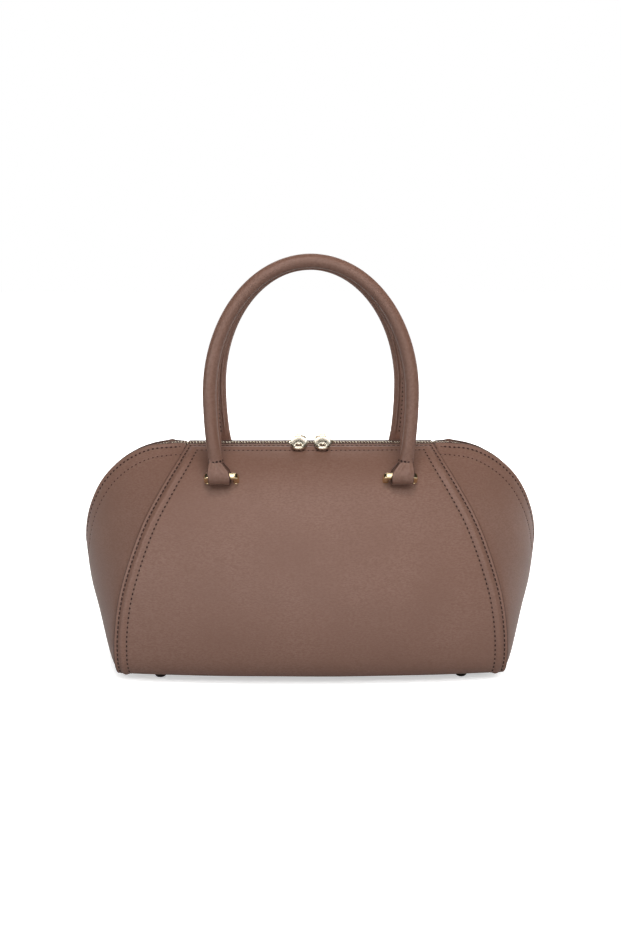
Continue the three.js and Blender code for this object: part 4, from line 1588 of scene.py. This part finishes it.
# Half a tab's way from the cuff down in front of the bar and under it, in millimetres: depth and height
TAB_FRONT = (
    (-1.7, 12.0), (-1.9, 10.0), (-2.5, 7.6), (-3.4, 4.6), (-4.1, 1.8), (-4.05, -1.2), (-2.9, -3.1),
    (-1.0, -4.15),
)
TAB_PATH = TAB_FRONT + tuple((-depth, rise) for depth, rise in reversed(TAB_FRONT))
TAB_PATH_STEPS = 300
TAB_COLUMNS = 26
TAB_ROWS = 80
TAB_WALL = 1.4 * MM
# A tab's width at the cuff, how much narrower its tucked end is, how far it leans inward, and the heights
# between which it tucks in and flares
TAB_NECK = 10.2 * MM
TAB_TUCK = 3.2 * MM
TAB_LEAN = 0.17
TAB_TUCK_Z = (8.2 * MM, 9.8 * MM)
TAB_FLARE_Z = (2.5 * MM, 8.6 * MM)
# A tab's two folds, which draw together towards the cuff, and its pillowed middle
FOLD_PLACE = 0.62
FOLD_SLANT = 25
FOLD_WIDTH = 0.16
FOLD_LIFT = 0.5 * MM
FOLD_START_Z = (1 * MM, 4 * MM)
FOLD_END_Z = (8 * MM, 10 * MM)
TAB_PILLOW = 0.35 * MM
TAB_PILLOW_Z = (-2 * MM, 2 * MM)


def tab_face(handle, side):
    """The outer face of a tab: a strip that runs down from the cuff, round the bar and up again."""
    line = evenly(spline_points(TAB_PATH, TAB_PATH_STEPS), TAB_ROWS)
    depth, rise = line[:, 0:1], line[:, 1:2]
    edge = TAB_WALL / 2
    neck = TAB_NECK - TAB_TUCK * smooth_step(*TAB_TUCK_Z, rise)
    wide = handle.tab_wide + (neck - handle.tab_wide) * smooth_step(*TAB_FLARE_Z, rise)
    part = np.linspace(-1, 1, TAB_COLUMNS)
    fold = bell(np.abs(part) - FOLD_PLACE + FOLD_SLANT * rise, FOLD_WIDTH) * smooth_step(*FOLD_START_Z, rise)
    fold *= 1 - smooth_step(*FOLD_END_Z, rise)
    swell = np.sign(depth) * (FOLD_LIFT * fold + TAB_PILLOW * (1 - part**2))
    inward = (wide - TAB_NECK) * TAB_LEAN
    across = part * (wide / 2 - edge) + side * (leg_x(handle, np.maximum(rise, 0)) - inward)
    return stack(across, depth + swell * smooth_step(*TAB_PILLOW_Z, rise), rise)


def cuff_line(rings, line, rise):
    """The line round a cuff at a height above the bar, with its outward directions."""
    row = np.abs(line[: HANDLE_STEPS // 2, 2] - rise).argmin()
    ring = rings[row]
    out = unit(ring - ring.mean(0))
    return np.concatenate([ring, ring[:1]]), np.concatenate([out, out[:1]])


def build_handle(context, end, seam, place):
    """A rolled handle with its tabs and its stitching."""
    handle, stitch = context.scene.handbag_handle, context.scene.handbag_stitch
    base = np.array([0.0, -HANDLE_DEPTH, context.scene.handbag_fitting.bar_height])
    line = handle_line(handle, handle.tab_top)
    rings = tube_rings(handle, line, seam)
    leather = Gathered()
    leather.add(*closed_tube(cuffed(rings) + base))
    marks = [np.zeros(leather.count)]
    for side in (-1, 1):
        face = tab_face(handle, side) + base
        points, quads, edge = shell(face.reshape(-1, 3), grid_quads(TAB_ROWS, TAB_COLUMNS), TAB_WALL)
        leather.add(points, quads)
        marks.append(edge)
    points = place(np.concatenate(leather.points))
    made = make_object(f"{end}_handle_leather", points, leather.faces, [handle_finish()],
                       {"edge": np.concatenate(marks)})
    settle(made, [f"{end}_handle"])
    seams = Gathered()
    sewn = slice(SEAM_ROW_SPARE, -SEAM_ROW_SPARE)
    row = rings[sewn, np.abs(seam_angles() - SEAM_ROW_ANGLE).argmin()]
    sew(seams, stitch, place(row + base), place(unit(row - line[sewn])), SEAM_BOLDNESS)
    cuff, out = cuff_line(rings, line, handle.tab_top + CUFF_ROW)
    for flip in (np.array, mirrored):
        sew(seams, stitch, place(flip(cuff) + base), place(flip(out)), CUFF_BOLDNESS, CUFF_CLOSENESS)
    sewn_object(f"{end}_handle_stitching", seams)


class HANDBAG_OT_handles(bpy.types.Operator):
    """Two rolled handles whose tabs turn round the bars of the loops"""
    bl_idname = "handbag.handles"
    bl_label = "Handles"

    def execute(self, context):
        build_handle(context, "front", FRONT_SEAM, np.array)
        build_handle(context, "back", BACK_SEAM, turned_about_z)
        return {"FINISHED"}


# Stage

WINGS = ("left_gusset_leather", "right_gusset_leather")
TEETH = ("zip_teeth",)
LOOPS = tuple(f"{end}_{side}_loop_metal" for end in ("front", "back") for side in ("left", "right"))
PULLS = ("left_zip_pull_metal", "right_zip_pull_metal")
# Each light: where it stands, how wide and tall it is, its power in watts, whether it lights the matt part of
# a surface and its sheen, and the pieces it is flagged to, none for all. All look at the bag.
LIGHTS = (
    ("Key", (0.0, -1.3, 1.35), (1.0, 0.7), 11.0, True, False, ()),
    ("Right key", (0.7, -1.3, 1.2), (0.8, 0.7), 8.5, True, False, ()),
    ("Low front", (0.0, -1.9, 0.2), (1.4, 0.5), 13.5, True, False, ()),
    ("Top", (0.0, -0.75, 1.75), (0.4, 0.4), 16.0, True, False, ()),
    ("Back", (0.0, 1.35, 1.35), (0.5, 0.4), 15.0, True, False, ()),
    ("Key sheen", (-0.3, -1.3, 1.3), (1.2, 0.9), 7.5, False, True, ()),
    ("Front sheen", (0.0, -1.9, 0.5), (1.6, 1.0), 7.5, False, True, ()),
    ("Left sheen", (-1.45, -1.4, 0.25), (0.35, 0.7), 8.0, False, True, ()),
    ("Left rim", (-1.4, 1.4, 0.4), (1.2, 1.4), 50.0, True, False, ()),
    ("Right rim", (1.4, 1.4, 0.4), (1.2, 1.4), 65.0, True, False, ()),
    ("Left rim sheen", (-1.4, 1.4, 0.4), (1.2, 1.4), 85.0, False, True, WINGS),
    ("Right rim sheen", (1.4, 1.4, 0.4), (1.2, 1.4), 130.0, False, True, WINGS),
    ("Backdrop", (0.0, 2.0, 0.45), (4.0, 1.2), 12.0, False, True, ()),
    ("Canopy", (0.0, 1.5, 1.2), (1.2, 0.7), 6.0, False, True, ()),
    ("Zip sheen", (0.0, -0.3, 1.6), (1.2, 0.7), 10.0, False, True, TEETH),
    ("Loop sheen", (0.0, -0.6, 1.6), (1.6, 1.2), 11.0, False, True, LOOPS),
    ("Pull sheen", (0.0, -0.5, 1.7), (1.6, 1.6), 16.0, False, True, PULLS),
)
LIGHT_AIM = Vector((0, 0, 0.11))
SENSOR_WIDTH = 36


class HANDBAG_OT_stage(bpy.types.Operator):
    """Pale floor, soft studio light and the camera"""
    bl_idname = "handbag.stage"
    bl_label = "Stage"

    def execute(self, context):
        stage = context.scene.handbag_stage
        self.build_floor(stage)
        for name, place, (wide, tall), power, matt, sheen, pieces in LIGHTS:
            holder = self.build_light(context, name, Vector(place), wide, tall, power)
            holder.visible_diffuse = matt
            holder.visible_glossy = sheen
            if pieces:
                self.flag_light(holder, pieces)
        self.build_camera(context, stage)
        self.set_surroundings(context, stage)
        return {"FINISHED"}

    def build_floor(self, stage):
        """One wide pale floor under the studs."""
        half = stage.floor_side / 2
        corners = [(-half, -half, 0), (half, -half, 0), (half, half, 0), (-half, half, 0)]
        floor = make_object("studio_floor", np.array(corners), [[0, 1, 2, 3]], [floor_finish()])

    def build_light(self, context, name, place, wide, tall, power):
        """A soft rectangular light that looks at the bag."""
        lamp = bpy.data.lights.new(name, "AREA")
        lamp.shape = "RECTANGLE"
        lamp.size = wide
        lamp.size_y = tall
        lamp.energy = power
        holder = bpy.data.objects.new(name, lamp)
        holder.location = place
        holder.visible_camera = False
        holder.rotation_euler = (LIGHT_AIM - place).to_track_quat("-Z", "Y").to_euler()
        context.scene.collection.objects.link(holder)
        return holder

    def flag_light(self, holder, pieces):
        """Keeps a light off every piece but these, as a studio flag does."""
        lit = bpy.data.collections.new(f"{holder.name} pieces")
        for piece in pieces:
            lit.objects.link(bpy.data.objects[piece])
        holder.light_linking.receiver_collection = lit

    def build_camera(self, context, stage):
        """The camera at the photograph's viewing angle."""
        data = bpy.data.cameras.new("Camera")
        data.sensor_width = SENSOR_WIDTH
        data.lens = stage.lens
        camera = bpy.data.objects.new("Camera", data)
        camera.location = stage.camera_place
        camera.rotation_euler = (math.pi / 2 - stage.camera_pitch, 0, -stage.camera_yaw)
        context.scene.collection.objects.link(camera)
        context.scene.camera = camera

    def set_surroundings(self, context, stage):
        """White surroundings, plain in view and softer as a light."""
        world = bpy.data.worlds.new("Studio")
        context.scene.world = world
        world.use_nodes = True
        tree = world.node_tree
        backdrop = tree.nodes["Background"]
        backdrop.inputs["Color"].default_value = WHITE
        seen = add_node(tree, "ShaderNodeLightPath")
        strength = spread(tree, seen.outputs["Is Camera Ray"], to=(stage.sky, 1.0), over=(0.0, 1.0))
        tree.links.new(strength, backdrop.inputs["Strength"])
        context.scene.view_settings.view_transform = "Standard"


# Add-on

GROUPS = {
    "handbag_body": HandbagBody,
    "handbag_stitch": HandbagStitch,
    "handbag_handle": HandbagHandle,
    "handbag_fitting": HandbagFitting,
    "handbag_colours": HandbagColours,
    "handbag_stage": HandbagStage,
}
OPERATORS = (
    HANDBAG_OT_panels, HANDBAG_OT_gussets, HANDBAG_OT_base, HANDBAG_OT_zip, HANDBAG_OT_sliders,
    HANDBAG_OT_loops, HANDBAG_OT_handles, HANDBAG_OT_stage,
)


class HANDBAG_PT_sidebar(bpy.types.Panel):
    """Pieces, sizes and colours of the handbag"""
    bl_idname = "HANDBAG_PT_sidebar"
    bl_label = "Handbag"
    bl_space_type = "VIEW_3D"
    bl_region_type = "UI"
    bl_category = "Handbag"

    def draw(self, context):
        for operator in OPERATORS:
            self.layout.operator(operator.bl_idname)
        for name, group in GROUPS.items():
            box = self.layout.box()
            for value in group.__annotations__:
                box.prop(getattr(context.scene, name), value)


def register():
    """Adds the handbag's settings, operators and panel."""
    for name, group in GROUPS.items():
        bpy.utils.register_class(group)
        setattr(bpy.types.Scene, name, PointerProperty(type=group))
    for operator in OPERATORS:
        bpy.utils.register_class(operator)
    bpy.utils.register_class(HANDBAG_PT_sidebar)


def unregister():
    """Takes them away again."""
    bpy.utils.unregister_class(HANDBAG_PT_sidebar)
    for operator in reversed(OPERATORS):
        bpy.utils.unregister_class(operator)
    for name, group in reversed(GROUPS.items()):
        delattr(bpy.types.Scene, name)
        bpy.utils.unregister_class(group)


def main():
    """Builds the handbag and its stage."""
    register()
    for operator in OPERATORS:
        kind, name = operator.bl_idname.split(".")
        getattr(getattr(bpy.ops, kind), name)()


if __name__ == "__main__":
    main()
